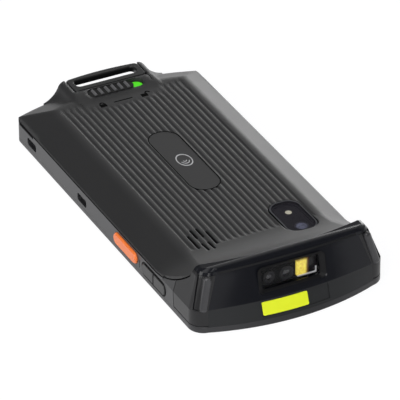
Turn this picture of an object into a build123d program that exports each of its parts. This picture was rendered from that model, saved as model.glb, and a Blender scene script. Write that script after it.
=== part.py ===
from build123d import *
import math
import os

# Rugged handheld data terminal lying on its display.
# +Z out of the rear cover, +Y towards the strap bar, -Y towards the scan head.
# Millimetres.  Every solid is in one frame, origin under the middle of the body.

# ---------------------------------------------------------------- driving sizes
BODY_HALF_W = 39.0          # side walls
BODY_FAR_Y = 82.2           # far wall of the body, on the centre line
FAR_BOW_R = 111.0           # bow of the far wall
FAR_CORNER_R = 4.2
BEZEL_H = 2.2               # display-side frame
SEAM_Z = 9.0                # joint between frame and rear cover along the sides
COVER_TOP_Z = 15.7          # flat of the rear cover
HEAD_TOP_Z = 23.6           # rim of the scan head

WALL = 2.0                  # frame side walls
COVER_WALL = 1.6
FIT = 0.1                   # clearance of a seated piece
SEAM_GAP = 0.35             # clearance of the moving cover
BIG = 130.0                 # beyond the terminal on every side

# scan head: plan outline at three heights
def head_plan(side_in, turn_y, corner_in, corner_y, edge_in, edge_y, nose_y):
    """Outline of the head at one height: where it leaves the side wall, turns its corner and bows to the nose."""
    return dict(side=BODY_HALF_W - side_in, turn_y=turn_y, corner=(BODY_HALF_W - corner_in, corner_y),
                edge=(BODY_HALF_W - edge_in, edge_y), nose_y=nose_y)


FLOOR_PLAN = head_plan(0.0, -70.5, 1.4, -74.0, 5.2, -76.2, -82.2)
CREASE_PLAN = head_plan(0.0, -70.5, 1.1, -73.4, 5.65, -75.0, -78.6)
HIP_PLAN = head_plan(4.1, -67.4, 5.2, -71.2, 9.2, -72.6, -73.9)
BROW_PLAN = head_plan(5.4, -67.0, 6.6, -70.9, 9.8, -72.1, -73.1)
RIM_PLAN = head_plan(8.4, -66.5, 8.9, -70.4, 10.8, -71.7, -72.6)
CREASE_Z, HIP_Z, BROW_Z = 9.0, 20.4, 22.4
HEAD_BACK_Y = -50.0
RIM_BAND_Z = 21.4           # foot of the black rim band
RIM_ROUND = 1.0
RIM_LINE_Y = -69.0          # rear edge of the rim, on the centre line
RIM_LINE_R = 162.0
BUMPER_START_Y = -57.5
BUMPER_BOTTOM_Z = 3.0
BUMPER_TOP_Z = 21.3
BUMPER_GROOVE = 0.35
BUMPER_T = 1.3
RIB_FOOT = ((BODY_HALF_W - 5.1, -74.8), (BODY_HALF_W - 2.3, -73.9))      # upright rib of the bumper, in plan
RIB_HEAD = ((BODY_HALF_W - 7.7, -72.6), (BODY_HALF_W - 5.1, -71.4))
RIB_TIP = ((BODY_HALF_W - 7.3, -72.1), (BODY_HALF_W - 5.8, -71.5))
RIB_FOOT_Z, RIB_HEAD_Z, RIB_TIP_Z = 9.4, 20.0, 21.2
RIB_PROUD = 0.75
STRIP_FOOT = ((BODY_HALF_W - 2.2, -74.3), (BODY_HALF_W - 0.5, -72.6))    # recessed strip beside it
STRIP_HEAD = ((BODY_HALF_W - 5.0, -71.9), (BODY_HALF_W - 3.3, -70.2))
STRIP_DEPTH = 0.5
CAP_T = 2.0
CAP_REAR_Y = -61.0

# rear cover
SHOULDER_W = 10.6           # from the side wall up to the flat
FLAT_HALF = BODY_HALF_W - SHOULDER_W      # flat, ribbed part of the cover
LIP_HALF = BODY_HALF_W - 1.0      # foot of the shoulder, where the steep lip above the seam begins
LIP_Z = 10.1
LIP_SLOPE = 0.85
SHOULDER_R = 6.0
FAR_FLAT_R = 97.4           # far end of the flat, about the centre of the bow
FAR_LIP_R = 110.0
RAMP_START_Y = -43.5
RAMP_END_Y = -69.5
RAMP_TOP_Z = 22.8
SEAM_RISE_Y = -44.5
SEAM_RISE_MID = (-59.0, 13.7)
CAVITY_FAR_Y = 62.5
RIB_PITCH = 2.5
RIB_DEPTH = 0.3
RIB_GROOVE = 1.5
RIB_REACH = 25.5            # outermost groove
RIB_Y0 = -50.5
RIB_ENDS = ((12.0, 57.8), (16.0, 60.0), (RIB_REACH, 63.4))      # far ends: behind the latch marks, then beside them
RIB_RUN_OUT = 3.0

# cover hinge (tabs under the rim)
TAB_X = 20.0
TAB_W = 8.0
TAB_T = 1.4
TAB_REACH = 1.5
TAB_TOP_Z = 20.6
TAB_ROOT_Y = -66.2

# pill-shaped inlay
PILL_W, PILL_L, PILL_Y = 12.5, 44.8, 9.7
PILL_DEPTH = 0.5
PILL_GAP = 0.25

# camera window
CAM_W, CAM_L, CAM_R = 13.5, 22.5, 5.5
CAM_X, CAM_Y = 18.0, -43.2
CAM_GAP = 0.5
CAM_TOP_Z = 15.9
LENS_Y, FLASH_Y = -50.3, -39.8

# speaker slots
SLOT_W = 1.0
SLOT_XS = (-22.5, -20.0, -17.5, -15.0)
SLOT_LONG = (-47.0, -37.0)
SLOT_SHORT_FAR = (-40.4, -34.0)
SLOT_SHORT_NEAR = (-49.8, -43.6)

# strap bar
BAR_HALF = 15.4
BAR_Y0 = 71.8
BAR_CLEAR = 0.25
BAR_Z0, BAR_Z1 = 14.2, 16.5
STRAP_SLOT_HALF = 12.85
STRAP_SLOT_Y = (74.7, 79.4)
PEDESTAL_HALF = 12.0
PEDESTAL_Y = (72.4, 74.4)
NECK_TOP_Z = 16.5
NECK_NEAR_Y = 60.5
NECK_CREST_Y = 71.6
NECK_HALF = 15.9            # crest of the neck's flank
NECK_FLANK = ((17.6, 15.9), (18.6, 14.6), (20.6, 12.1), (25.5, 10.0))

# latch
LATCH_HALF = 11.7
LATCH_Y = (65.3, 70.9)
LATCH_FLOOR_Z = 14.3
LATCH_FLOOR_T = 1.7
LATCH_TRAVEL = 3.6
SLIDER_LEN = 19.0
SLIDER_TOP_Z = 16.7
SLIDER_RIBS = 6
SLIDER_RIB_PITCH = 2.8
SLIDER_GAP = 0.2
BOLT_T = 1.7
LATCH_SLIT_Y = 67.2
LATCH_MID_Y = sum(LATCH_Y) / 2
STEM_X, STEM_HALF = (-5.0, 1.0), 1.2          # joins slide and bolt through the latch floor
BOLT_X, BOLT_HALF = (-9.0, 5.0), 1.9
TOOTH_X, TOOTH_HALF = -12.4, 1.1
KEEPER_X, KEEPER_HALF, KEEPER_Z = (-16.2, -12.0), 2.9, 11.8

# side keys
KEY_GAP = 0.15
SCAN_KEY = dict(y=-20.1, length=18.6, z=5.5, height=4.8, proud=0.9, end_lip=0.8, square_end=0)
VOLUME_UP = dict(y=-38.0, length=8.9, z=5.1, height=4.6, proud=0.35, end_lip=0.15, square_end=-1)
VOLUME_DOWN = dict(y=-47.5, length=8.9, z=5.1, height=4.6, proud=0.35, end_lip=0.15, square_end=1)
POWER_KEY = dict(y=-42.7, length=11.0, z=5.1, height=4.4, proud=0.4, end_lip=0.8, square_end=0)
KEY_EDGE = 0.55             # bevel, as a share of how far a key stands proud
KEY_FLANGE_T = 0.8
KEY_FLANGE_LIP = 0.5
CHANNEL_X = (BODY_HALF_W - 5.6, BODY_HALF_W - WALL)
CHANNEL_Z = (2.4, 8.6)
CHANNEL_Y = (-55.0, -7.0)

# side-wall notches for a grip or boot
NOTCH_YS = (61.3, 17.3)
NOTCH_L, NOTCH_H, NOTCH_Z, NOTCH_DEPTH = 7.6, 3.1, 4.9, 1.5

# display
GLASS_HALF_W = BODY_HALF_W - 3.4
GLASS_Y0, GLASS_Y1, GLASS_R, GLASS_T = -70.0, 71.4, 4.0, 1.1
DISPLAY_HALF_W = GLASS_HALF_W - 2.4
DISPLAY_Y0, DISPLAY_Y1, DISPLAY_T = -61.0, 66.0, 2.2
WEB_Z = (3.6, 4.6)          # frame web between display and electronics

# connector in the far wall
PORT_W, PORT_H, PORT_L, PORT_Z = 8.9, 3.1, 7.0, 6.3
PORT_INSET = 0.4
PORT_TAIL_HALF = 2.5
PORT_BLOCK_HALF, PORT_BLOCK_Y = 16.2, 71.3

# inside
BATTERY_HALF_W, BATTERY_Y0, BATTERY_Y1, BATTERY_Z1 = 28.0, -20.0, 60.0, 13.2
BAY_HALF_W = CHANNEL_X[0] - 1.6
BOARD_HALF_W = BAY_HALF_W - 0.8
BOARD_Y0, BOARD_Y1, BOARD_Z0, BOARD_T = -56.5, -24.5, 5.6, 1.0
CARRIER_HALF_W, CARRIER_Y0, CARRIER_T = BAY_HALF_W + 0.8, -52.5, 1.2
SEAL_H = 1.6
SCREW_YS = (-2.0, 34.0, 70.0)
SCREW_X = BODY_HALF_W - 3.4
SCREW_HEAD_R, SCREW_R = 1.4, 0.8
SCREW_SINK = 1.1

# scan window and engine
WINDOW_W, WINDOW_H, WINDOW_T = 23.4, 7.8, 1.0
WINDOW_CENTRE = (0.0, -74.75, 15.4)
WINDOW_TILT = 12.6
WINDOW_LIP = 0.8
PLATE_X, PLATE_Z, PLATE_DEPTH = (-14.0, 13.6), (3.2, 8.5), 0.3      # recess in the chin for stickers
LABEL_X, LABEL_Z, LABEL_R, LABEL_T = (-13.5, 4.7), (3.5, 8.2), 0.5, 0.18
ENGINE_FRONT_Y = -71.8
LENS_FRONT_Y = -72.6

os.makedirs("parts", exist_ok=True)


# ---------------------------------------------------------------- helpers
def slab(x0, x1, y0, y1, z0, z1):
    """Box between two corners."""
    centre = Pos((x0 + x1) / 2, (y0 + y1) / 2, (z0 + z1) / 2)
    return centre * Box(x1 - x0, y1 - y0, z1 - z0)


def both_sides(shape):
    """The shape and its mirror image across the centre plane."""
    return [shape, mirror(shape, about=Plane.YZ)]


def rounded_slab(cx, cy, width, length, radius, z0, z1):
    """Upright plate with rounded corners in plan."""
    outline = RectangleRounded(width, length, radius)
    return Pos(cx, cy, z0) * extrude(outline, z1 - z0)


def profile_face(edges):
    """Planar face inside a loop of edges."""
    return Face(Wire(edges))


def polygon_yz(points, x):
    """Face in the plane X = x from (y, z) points."""
    return Face(Wire.make_polygon([(x, y, z) for y, z in points], close=True))


def prism_yz(points, x0, x1):
    """Closed (y, z) outline extruded from x0 to x1."""
    return extrude(polygon_yz(points, x0), amount=x1 - x0, dir=(1, 0, 0))


def polygon_xz(points, y):
    """Face in the plane Y = y from (x, z) points."""
    return Face(Wire.make_polygon([(x, y, z) for x, z in points], close=True))


def prism_xz(points, y0, y1):
    """Closed (x, z) outline extruded from y0 to y1."""
    return extrude(polygon_xz(points, y0), amount=y1 - y0, dir=(0, 1, 0))


def write(name, shape):
    """One STEP file per node."""
    export_step(shape, f"parts/{name}.step")


# ---------------------------------------------------------------- outer envelope
def head_section(z, plan, inset=0.0):
    """Plan outline of the scan head at height z, drawn in by inset."""
    side = plan["side"] - inset
    turn_y = plan["turn_y"] + 0.4 * inset
    corner = (plan["corner"][0] - 0.85 * inset, plan["corner"][1] + 0.6 * inset)
    edge = (plan["edge"][0] - 0.4 * inset, plan["edge"][1] + 0.95 * inset)
    nose_y = plan["nose_y"] + inset
    edges = [
        Edge.make_line((side, HEAD_BACK_Y, z), (side, turn_y, z)),
        Edge.make_three_point_arc((side, turn_y, z), (*corner, z), (*edge, z)),
        Edge.make_three_point_arc((*edge, z), (0, nose_y, z), (-edge[0], edge[1], z)),
        Edge.make_three_point_arc((-edge[0], edge[1], z), (-corner[0], corner[1], z), (-side, turn_y, z)),
        Edge.make_line((-side, turn_y, z), (-side, HEAD_BACK_Y, z)),
        Edge.make_line((-side, HEAD_BACK_Y, z), (side, HEAD_BACK_Y, z)),
    ]
    return profile_face(edges)


def head_lower(inset=0.0):
    """Head below the crease: the chin that bows forward to the floor."""
    return loft([head_section(0, FLOOR_PLAN, inset), head_section(CREASE_Z, CREASE_PLAN, inset)], ruled=True)


def head_upper(inset=0.0):
    """Head above the crease: walls that lean in, then round over to the rim."""
    plans = ((CREASE_Z, CREASE_PLAN), (HIP_Z, HIP_PLAN), (BROW_Z, BROW_PLAN), (HEAD_TOP_Z, RIM_PLAN))
    return loft([head_section(z, plan, inset) for z, plan in plans], ruled=True)


def head_envelope(inset=0.0):
    """The whole head, drawn in by inset."""
    return head_lower(inset) + head_upper(inset)


BOW_CENTRE_Y = BODY_FAR_Y - FAR_BOW_R


def far_edge_y(x):
    """Far wall of the body at x."""
    return BOW_CENTRE_Y + math.sqrt(FAR_BOW_R ** 2 - x ** 2)


def far_outline(half, inset, z):
    """Edges of the bowed far end at height z, from the right side wall round to the left one."""
    radius = FAR_CORNER_R - inset
    centre_x = half - radius
    rise = math.sqrt((FAR_BOW_R - FAR_CORNER_R) ** 2 - centre_x ** 2)
    centre_y = BOW_CENTRE_Y + rise
    angle = math.atan2(rise, centre_x)
    middle = (centre_x + radius * math.cos(angle / 2), centre_y + radius * math.sin(angle / 2), z)
    edge = (centre_x + radius * math.cos(angle), centre_y + radius * math.sin(angle), z)

    def left(point):
        return (-point[0], point[1], z)

    turn = (half, centre_y, z)
    return [
        Edge.make_three_point_arc(turn, middle, edge),
        Edge.make_three_point_arc(edge, (0, BODY_FAR_Y - inset, z), left(edge)),
        Edge.make_three_point_arc(left(edge), left(middle), left(turn)),
    ], centre_y


def body_envelope(inset=0.0):
    """Body behind the head, with its bowed far end."""
    half = BODY_HALF_W - inset
    far_edges, turn_y = far_outline(half, inset, 0)
    outline = [
        Edge.make_line((half, HEAD_BACK_Y, 0), (half, turn_y, 0)),
        *far_edges,
        Edge.make_line((-half, turn_y, 0), (-half, HEAD_BACK_Y, 0)),
        Edge.make_line((-half, HEAD_BACK_Y, 0), (half, HEAD_BACK_Y, 0)),
    ]
    return extrude(profile_face(outline), amount=HEAD_TOP_Z, dir=(0, 0, 1))


def seam_region(shift=0.0):
    """Space above the seam: level along the sides, rising in an arc at the head."""
    rise = BODY_HALF_W + 6
    arc_mid = SEAM_RISE_MID
    arc_end = (RAMP_END_Y, HEAD_TOP_Z - 0.1)
    top = HEAD_TOP_Z + 8
    far = BODY_FAR_Y + 12
    x = -rise
    edges = [
        Edge.make_line((x, far, SEAM_Z), (x, SEAM_RISE_Y, SEAM_Z)),
        Edge.make_three_point_arc((x, SEAM_RISE_Y, SEAM_Z), (x, *arc_mid), (x, *arc_end)),
        Edge.make_line((x, *arc_end), (x, RAMP_END_Y, top)),
        Edge.make_line((x, RAMP_END_Y, top), (x, far, top)),
        Edge.make_line((x, far, top), (x, far, SEAM_Z)),
    ]
    region = extrude(profile_face(edges), amount=2 * rise, dir=(1, 0, 0))
    return Pos(0, shift, shift) * region


def rim_line_y(x):
    """Rear edge of the rim band in plan."""
    return RIM_LINE_Y + x * x / (2 * RIM_LINE_R)


def behind_rim(shift=0.0):
    """Space behind the bowed rear edge of the rim."""
    reach = BODY_HALF_W + 6
    end_y = rim_line_y(reach)
    far = BODY_FAR_Y + 12
    edges = [
        Edge.make_three_point_arc((-reach, end_y, 0), (0, RIM_LINE_Y, 0), (reach, end_y, 0)),
        Edge.make_line((reach, end_y, 0), (reach, far, 0)),
        Edge.make_line((reach, far, 0), (-reach, far, 0)),
        Edge.make_line((-reach, far, 0), (-reach, end_y, 0)),
    ]
    return Pos(0, shift, 0) * extrude(profile_face(edges), amount=HEAD_TOP_Z + 8)


# ---------------------------------------------------------------- rear cover
RAMP_RUN = RAMP_START_Y - RAMP_END_Y
RAMP_RISE = RAMP_TOP_Z - COVER_TOP_Z
RAMP_R = (RAMP_RUN ** 2 + RAMP_RISE ** 2) / (2 * RAMP_RISE)
SHOULDER_SLOPE = (COVER_TOP_Z - LIP_Z) / (LIP_HALF - FLAT_HALF)
FAR_SLOPE = (COVER_TOP_Z - LIP_Z) / (FAR_LIP_R - FAR_FLAT_R)


def ramp_z(y):
    """Height of the cover's centre line: flat, then an arc up to the rim."""
    run = max(RAMP_START_Y - y, 0.0)
    return COVER_TOP_Z + RAMP_R - math.sqrt(RAMP_R ** 2 - run ** 2)


def soft_break(u, z, slope, radius):
    """Points of the arc that softens a flat ending at (u, z) before it falls away with slope."""
    angle = math.atan(slope)
    run = radius * math.tan(angle / 2)
    centre = (u - run, z - radius)
    start = (u - run, z)
    middle = (centre[0] + radius * math.sin(angle / 2), centre[1] + radius * math.cos(angle / 2))
    end = (u + run * math.cos(angle), z - run * math.sin(angle))
    return start, middle, end


def roof_section(y, wall):
    """Cross-section of the space under the cover's skin at station y."""
    reach = BODY_HALF_W + 4
    part = min(max((RAMP_START_Y - y) / RAMP_RUN, 0.0), 1.0)
    ease = part * part * (3 - 2 * part)
    flat = FLAT_HALF + 2.0 * ease - 0.3 * wall
    slope = SHOULDER_SLOPE * (1 - ease) + 0.28 * ease
    top = ramp_z(y) - wall
    lip_z = top - slope * (LIP_HALF - flat)
    low = lip_z - max(LIP_SLOPE * (1 - ease), slope) * (reach - LIP_HALF)
    start, middle, end = soft_break(flat, top, slope, SHOULDER_R - wall)

    def at(point, side=1):
        return (side * point[0], y, point[1])

    edges = [
        Edge.make_line(at((reach, 0)), at((reach, low))),
        Edge.make_line(at((reach, low)), at((LIP_HALF, lip_z))),
        Edge.make_line(at((LIP_HALF, lip_z)), at(end)),
        Edge.make_three_point_arc(at(end), at(middle), at(start)),
        Edge.make_line(at(start), at(start, -1)),
        Edge.make_three_point_arc(at(start, -1), at(middle, -1), at(end, -1)),
        Edge.make_line(at(end, -1), at((LIP_HALF, lip_z), -1)),
        Edge.make_line(at((LIP_HALF, lip_z), -1), at((reach, low), -1)),
        Edge.make_line(at((reach, low), -1), at((reach, 0), -1)),
        Edge.make_line(at((reach, 0), -1), at((reach, 0))),
    ]
    return profile_face(edges)


def far_slope(wall):
    """Space above the cover's far end, where its skin falls to the bowed far seam."""
    top = COVER_TOP_Z - wall
    begin = FAR_FLAT_R - 0.3 * wall
    reach = FAR_BOW_R + 3
    lip_z = top - FAR_SLOPE * (FAR_LIP_R - begin)
    low = lip_z - LIP_SLOPE * (reach - FAR_LIP_R)

    def at(point):
        return (0, BOW_CENTRE_Y + point[0], point[1])

    start, middle, end = (at(point) for point in soft_break(begin, top, FAR_SLOPE, SHOULDER_R - wall))
    lip, foot, crown = at((FAR_LIP_R, lip_z)), at((reach, low)), at((reach, COVER_TOP_Z + 2))
    back = (0, start[1], crown[2])
    profile = profile_face([
        Edge.make_three_point_arc(start, middle, end),
        Edge.make_line(end, lip),
        Edge.make_line(lip, foot),
        Edge.make_line(foot, crown),
        Edge.make_line(crown, back),
        Edge.make_line(back, start),
    ])
    return revolve(profile, axis=Axis((0, BOW_CENTRE_Y, 0), (0, 0, 1)))


def roof(wall=0.0):
    """Solid under the cover's outer (or, with a wall, inner) surface."""
    far = BODY_FAR_Y + 1
    main = extrude(roof_section(RAMP_START_Y, wall), amount=far - RAMP_START_Y, dir=(0, 1, 0))
    stations = [RAMP_START_Y, -47.5, -52.0, -57.0, -62.0, -66.0, RAMP_END_Y]
    head = loft([roof_section(y, wall) for y in stations])
    return (main - far_slope(wall)) + head


def neck():
    """Sweeping neck that carries the cover's skin out to the strap bar."""
    base_z = SEAM_Z + SEAM_GAP
    y = NECK_NEAR_Y

    def at(point, side=1):
        return (side * point[0], y, point[1])

    crest = (NECK_HALF, NECK_TOP_Z)
    shoulder, waist, hollow, foot = NECK_FLANK
    base = (foot[0], base_z)
    flanked = extrude(profile_face([
        Edge.make_line(at(crest, -1), at(crest)),
        Edge.make_three_point_arc(at(crest), at(shoulder), at(waist)),
        Edge.make_three_point_arc(at(waist), at(hollow), at(foot)),
        Edge.make_line(at(foot), at(base)),
        Edge.make_line(at(base), at(base, -1)),
        Edge.make_line(at(base, -1), at(foot, -1)),
        Edge.make_three_point_arc(at(foot, -1), at(hollow, -1), at(waist, -1)),
        Edge.make_three_point_arc(at(waist, -1), at(shoulder, -1), at(crest, -1)),
    ]), amount=BODY_FAR_Y - y, dir=(0, 1, 0))

    # its top swells out of the flat
    x = -foot[0] - 1
    half_y, half_z = (y + NECK_CREST_Y) / 2, (COVER_TOP_Z + NECK_TOP_Z) / 2
    rise = (NECK_TOP_Z - COVER_TOP_Z) / 8
    swell = extrude(profile_face([
        Edge.make_three_point_arc((x, y, COVER_TOP_Z - 0.05), (x, (y + half_y) / 2, COVER_TOP_Z + rise),
                                  (x, half_y, half_z)),
        Edge.make_three_point_arc((x, half_y, half_z), (x, (half_y + NECK_CREST_Y) / 2, NECK_TOP_Z - rise),
                                  (x, NECK_CREST_Y, NECK_TOP_Z)),
        Edge.make_line((x, NECK_CREST_Y, NECK_TOP_Z), (x, BODY_FAR_Y, NECK_TOP_Z)),
        Edge.make_line((x, BODY_FAR_Y, NECK_TOP_Z), (x, BODY_FAR_Y, base_z)),
        Edge.make_line((x, BODY_FAR_Y, base_z), (x, y, base_z)),
        Edge.make_line((x, y, base_z), (x, y, COVER_TOP_Z - 0.05)),
    ]), amount=-2 * x, dir=(1, 0, 0))
    return flanked & swell & body_envelope()


def rib_grooves():
    """Shallow grooves that leave the ribs between them and run out at both ends."""
    top = COVER_TOP_Z
    floor = top - RIB_DEPTH
    half = RIB_GROOVE / 2
    grooves = []
    for i in range(-int(RIB_REACH / RIB_PITCH), int(RIB_REACH / RIB_PITCH) + 1):
        x = i * RIB_PITCH
        far = next(end for reach, end in RIB_ENDS if abs(x) <= reach)
        section = [(x - half, top + 1), (x - half, top), (x - 0.25 * half, floor), (x + 0.25 * half, floor),
                   (x + half, top), (x + half, top + 1)]
        run_out = prism_yz([(RIB_Y0, top + 0.7), (RIB_Y0 + 2 * RIB_RUN_OUT, floor - 0.05),
                            (far - RIB_RUN_OUT, floor - 0.05), (far, top + 0.02), (far, top + 1),
                            (RIB_Y0, top + 1)], x - 1, x + 1)
        grooves.append(prism_xz(section, RIB_Y0, far) & run_out)
    return grooves


def slot_cut(x, span):
    """One round-ended speaker slot through the skin."""
    y0, y1 = span
    return Pos(x, (y0 + y1) / 2, COVER_TOP_Z - COVER_WALL - 2) * extrude(
        SlotOverall(y1 - y0, SLOT_W, rotation=90), COVER_WALL + 4)


def pill(width, length, z0, z1):
    """Pill-shaped plate on the centre line."""
    return Pos(0, PILL_Y, z0) * extrude(SlotOverall(length, width, rotation=90), z1 - z0)


def camera_outline(grow):
    """Camera window outline, larger by grow all round."""
    return RectangleRounded(CAM_W + 2 * grow, CAM_L + 2 * grow, CAM_R + grow)


def latch_cavity():
    """Room under the latch floor for the bolt, the spring and the frame's keeper."""
    floor_under = LATCH_FLOOR_Z - LATCH_FLOOR_T
    return slab(KEEPER_X[0] - 0.8, 15.0, LATCH_MID_Y - 4.3, BAR_Y0, SEAM_Z - 1, floor_under)


def rear_cover():
    """Ribbed cover: skin, shoulders, ramp to the head, neck and hinge tabs."""
    allowed = seam_region(SEAM_GAP) & behind_rim(SEAM_GAP)
    envelope = body_envelope() + head_envelope()
    outer = envelope & roof() & allowed
    outer += neck()

    inside = roof(COVER_WALL) & (body_envelope(COVER_WALL) + head_envelope(COVER_WALL))
    inside = inside & slab(-BIG, BIG, -BIG, CAVITY_FAR_Y, 0, BIG)
    cover = outer - inside

    # hollow far corners, left open below like the main cavity
    corner = slab(NECK_HALF + 4.6, BODY_HALF_W, CAVITY_FAR_Y + 1.6, BODY_FAR_Y, 0, BIG) & body_envelope(WALL)
    for pocket in both_sides(corner & roof(COVER_WALL)):
        cover -= pocket

    # hinge tabs that reach under the rim
    tab_y0 = RIM_LINE_Y - TAB_REACH
    tab = slab(TAB_X - TAB_W / 2, TAB_X + TAB_W / 2, tab_y0, TAB_ROOT_Y, TAB_TOP_Z - TAB_T, TAB_TOP_Z)
    for side in both_sides(tab):
        cover += side

    # strap bar notch, latch pocket and bolt room
    bar_clear = BAR_HALF + BAR_CLEAR
    cover -= slab(-bar_clear, bar_clear, BAR_Y0 - 0.4, BODY_FAR_Y + 2, 0, BIG)
    cover -= latch_cavity()
    latch_w = LATCH_Y[1] - LATCH_Y[0]
    cover -= Pos(0, LATCH_MID_Y, LATCH_FLOOR_Z) * extrude(SlotOverall(2 * LATCH_HALF, latch_w), 6)
    cover -= slab(STEM_X[0] - SLIDER_GAP, STEM_X[1] + SLIDER_GAP + LATCH_TRAVEL,
                  LATCH_MID_Y - STEM_HALF - SLIDER_GAP, LATCH_MID_Y + STEM_HALF + SLIDER_GAP,
                  SEAM_Z, LATCH_FLOOR_Z + 1)

    # fine slit beside the latch, from the strap bar's right end
    cover -= slab(bar_clear - 0.4, bar_clear, LATCH_SLIT_Y, BAR_Y0, NECK_TOP_Z - 1.2, BIG)

    # inlay recess, camera cut-out with an undercut that clears the camera trim, speaker slots
    cover -= pill(PILL_W, PILL_L, COVER_TOP_Z - PILL_DEPTH, COVER_TOP_Z + 1)
    cover -= Pos(CAM_X, CAM_Y, SEAM_Z) * extrude(camera_outline(0), 12)
    cover -= Pos(CAM_X, CAM_Y - 0.7, SEAM_Z) * extrude(camera_outline(0.9), COVER_TOP_Z - 0.7 - SEAM_Z)
    for groove in rib_grooves():
        cover -= groove
    for x in (SLOT_XS[0], SLOT_XS[-1]):
        cover -= slot_cut(x, SLOT_LONG)
    for x in SLOT_XS[1:-1]:
        cover -= slot_cut(x, SLOT_SHORT_FAR)
        cover -= slot_cut(x, SLOT_SHORT_NEAR)
    return cover


def label_inlay():
    """Flush pill-shaped plate, bare of any mark."""
    return pill(PILL_W - 2 * PILL_GAP, PILL_L - 2 * PILL_GAP, COVER_TOP_Z - PILL_DEPTH, COVER_TOP_Z - 0.05)


def nfc_antenna():
    """Flat coil bonded under the cover's skin."""
    z1 = COVER_TOP_Z - COVER_WALL
    outer = rounded_slab(0, PILL_Y, 34, 50, 4, z1 - 0.25, z1)
    return outer - rounded_slab(0, PILL_Y, 26, 42, 2, z1 - 1, z1 + 1)


def bay_seal():
    """Gasket on the frame round the battery bay, under the cover's shoulders."""
    y0, y1 = BATTERY_Y0 - 3.4, CAVITY_FAR_Y - 0.1
    cy, length = (y0 + y1) / 2, y1 - y0
    width = 2 * CARRIER_HALF_W + 1.6
    outer = rounded_slab(0, cy, width, length, 3, SEAM_Z, SEAM_Z + SEAL_H)
    return outer - rounded_slab(0, cy, width - 2.2, length - 2.2, 2, SEAM_Z - 1, SEAM_Z + SEAL_H + 1)


# ---------------------------------------------------------------- latch
def latch_slider():
    """Ribbed slide with its stem and bolt below."""
    length = SLIDER_LEN
    width = LATCH_Y[1] - LATCH_Y[0] - 2 * SLIDER_GAP
    cy = LATCH_MID_Y
    cx = -LATCH_HALF + SLIDER_GAP + length / 2
    base_z = LATCH_FLOOR_Z + 0.7
    pad = Pos(cx, cy, base_z) * extrude(SlotOverall(length, width), SLIDER_TOP_Z - 0.6 - base_z)
    first = cx - (SLIDER_RIBS - 1) * SLIDER_RIB_PITCH / 2
    for i in range(SLIDER_RIBS):
        x = first + i * SLIDER_RIB_PITCH
        pad += prism_xz([(x - 0.7, base_z), (x - 0.7, SLIDER_TOP_Z - 0.6), (x - 0.25, SLIDER_TOP_Z),
                         (x + 0.25, SLIDER_TOP_Z), (x + 0.7, SLIDER_TOP_Z - 0.6), (x + 0.7, base_z)],
                        cy - width / 2 + 0.5, cy + width / 2 - 0.5)
    return pad + slab(*STEM_X, cy - STEM_HALF, cy + STEM_HALF, LATCH_FLOOR_Z - LATCH_FLOOR_T - SLIDER_GAP, base_z)


def latch_bolt():
    """Bolt plate under the floor with the tooth that enters the keeper."""
    z1 = LATCH_FLOOR_Z - LATCH_FLOOR_T - SLIDER_GAP
    plate = slab(*BOLT_X, LATCH_MID_Y - BOLT_HALF, LATCH_MID_Y + BOLT_HALF, z1 - BOLT_T, z1)
    return plate + slab(TOOTH_X, BOLT_X[0], LATCH_MID_Y - TOOTH_HALF, LATCH_MID_Y + TOOTH_HALF, z1 - BOLT_T, z1)


def latch_spring():
    """Leaf detent in the cover behind the bolt."""
    z = LATCH_FLOOR_Z - LATCH_FLOOR_T - 1.4
    x0, x1 = BOLT_X
    middle = (x0 + x1) / 2
    foot = LATCH_MID_Y - 4.3
    leaf = [
        Edge.make_three_point_arc((x0, foot + 0.3, z), (middle, foot + 1.8, z), (x1, foot + 0.3, z)),
        Edge.make_line((x1, foot + 0.3, z), (x1, foot, z)),
        Edge.make_three_point_arc((x1, foot, z), (middle, foot + 1.5, z), (x0, foot, z)),
        Edge.make_line((x0, foot, z), (x0, foot + 0.3, z)),
    ]
    return extrude(profile_face(leaf), amount=1.4, dir=(0, 0, 1))


def latch_indicator():
    """Green flag on the latch floor that the slide covers when it is opened."""
    width = LATCH_Y[1] - LATCH_Y[0] - 2 * SLIDER_GAP
    x0 = -LATCH_HALF + SLIDER_GAP + SLIDER_LEN + 0.1
    flag = Pos(0, LATCH_MID_Y, LATCH_FLOOR_Z) * extrude(SlotOverall(2 * (LATCH_HALF - SLIDER_GAP), width), 0.5)
    return flag & slab(x0, LATCH_HALF, LATCH_Y[0], LATCH_Y[1], 0, BIG)


# ---------------------------------------------------------------- strap bar
def strap_bar():
    """Dark ring with the strap slot, on a pedestal that stands on the frame."""
    far = far_edge_y(BAR_HALF)
    edges = [
        Edge.make_line((-BAR_HALF, far, BAR_Z0), (-BAR_HALF, BAR_Y0, BAR_Z0)),
        Edge.make_line((-BAR_HALF, BAR_Y0, BAR_Z0), (BAR_HALF, BAR_Y0, BAR_Z0)),
        Edge.make_line((BAR_HALF, BAR_Y0, BAR_Z0), (BAR_HALF, far, BAR_Z0)),
        Edge.make_three_point_arc((BAR_HALF, far, BAR_Z0), (0, BODY_FAR_Y, BAR_Z0), (-BAR_HALF, far, BAR_Z0)),
    ]
    ring = extrude(profile_face(edges), amount=BAR_Z1 - BAR_Z0, dir=(0, 0, 1))
    corner_edges = ring.edges().filter_by(Axis.Z)
    ring = fillet(corner_edges, 1.8)
    slot_y = sum(STRAP_SLOT_Y) / 2
    slot_w = STRAP_SLOT_Y[1] - STRAP_SLOT_Y[0]
    ring -= rounded_slab(0, slot_y, 2 * STRAP_SLOT_HALF, slot_w, 1.7, BAR_Z0 - 1, BAR_Z1 + 1)
    top_edges = ring.faces().sort_by(Axis.Z)[-1].edges()
    ring = chamfer(top_edges, 0.35)
    return ring + slab(-PEDESTAL_HALF, PEDESTAL_HALF, *PEDESTAL_Y, SEAM_Z, BAR_Z0)


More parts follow.
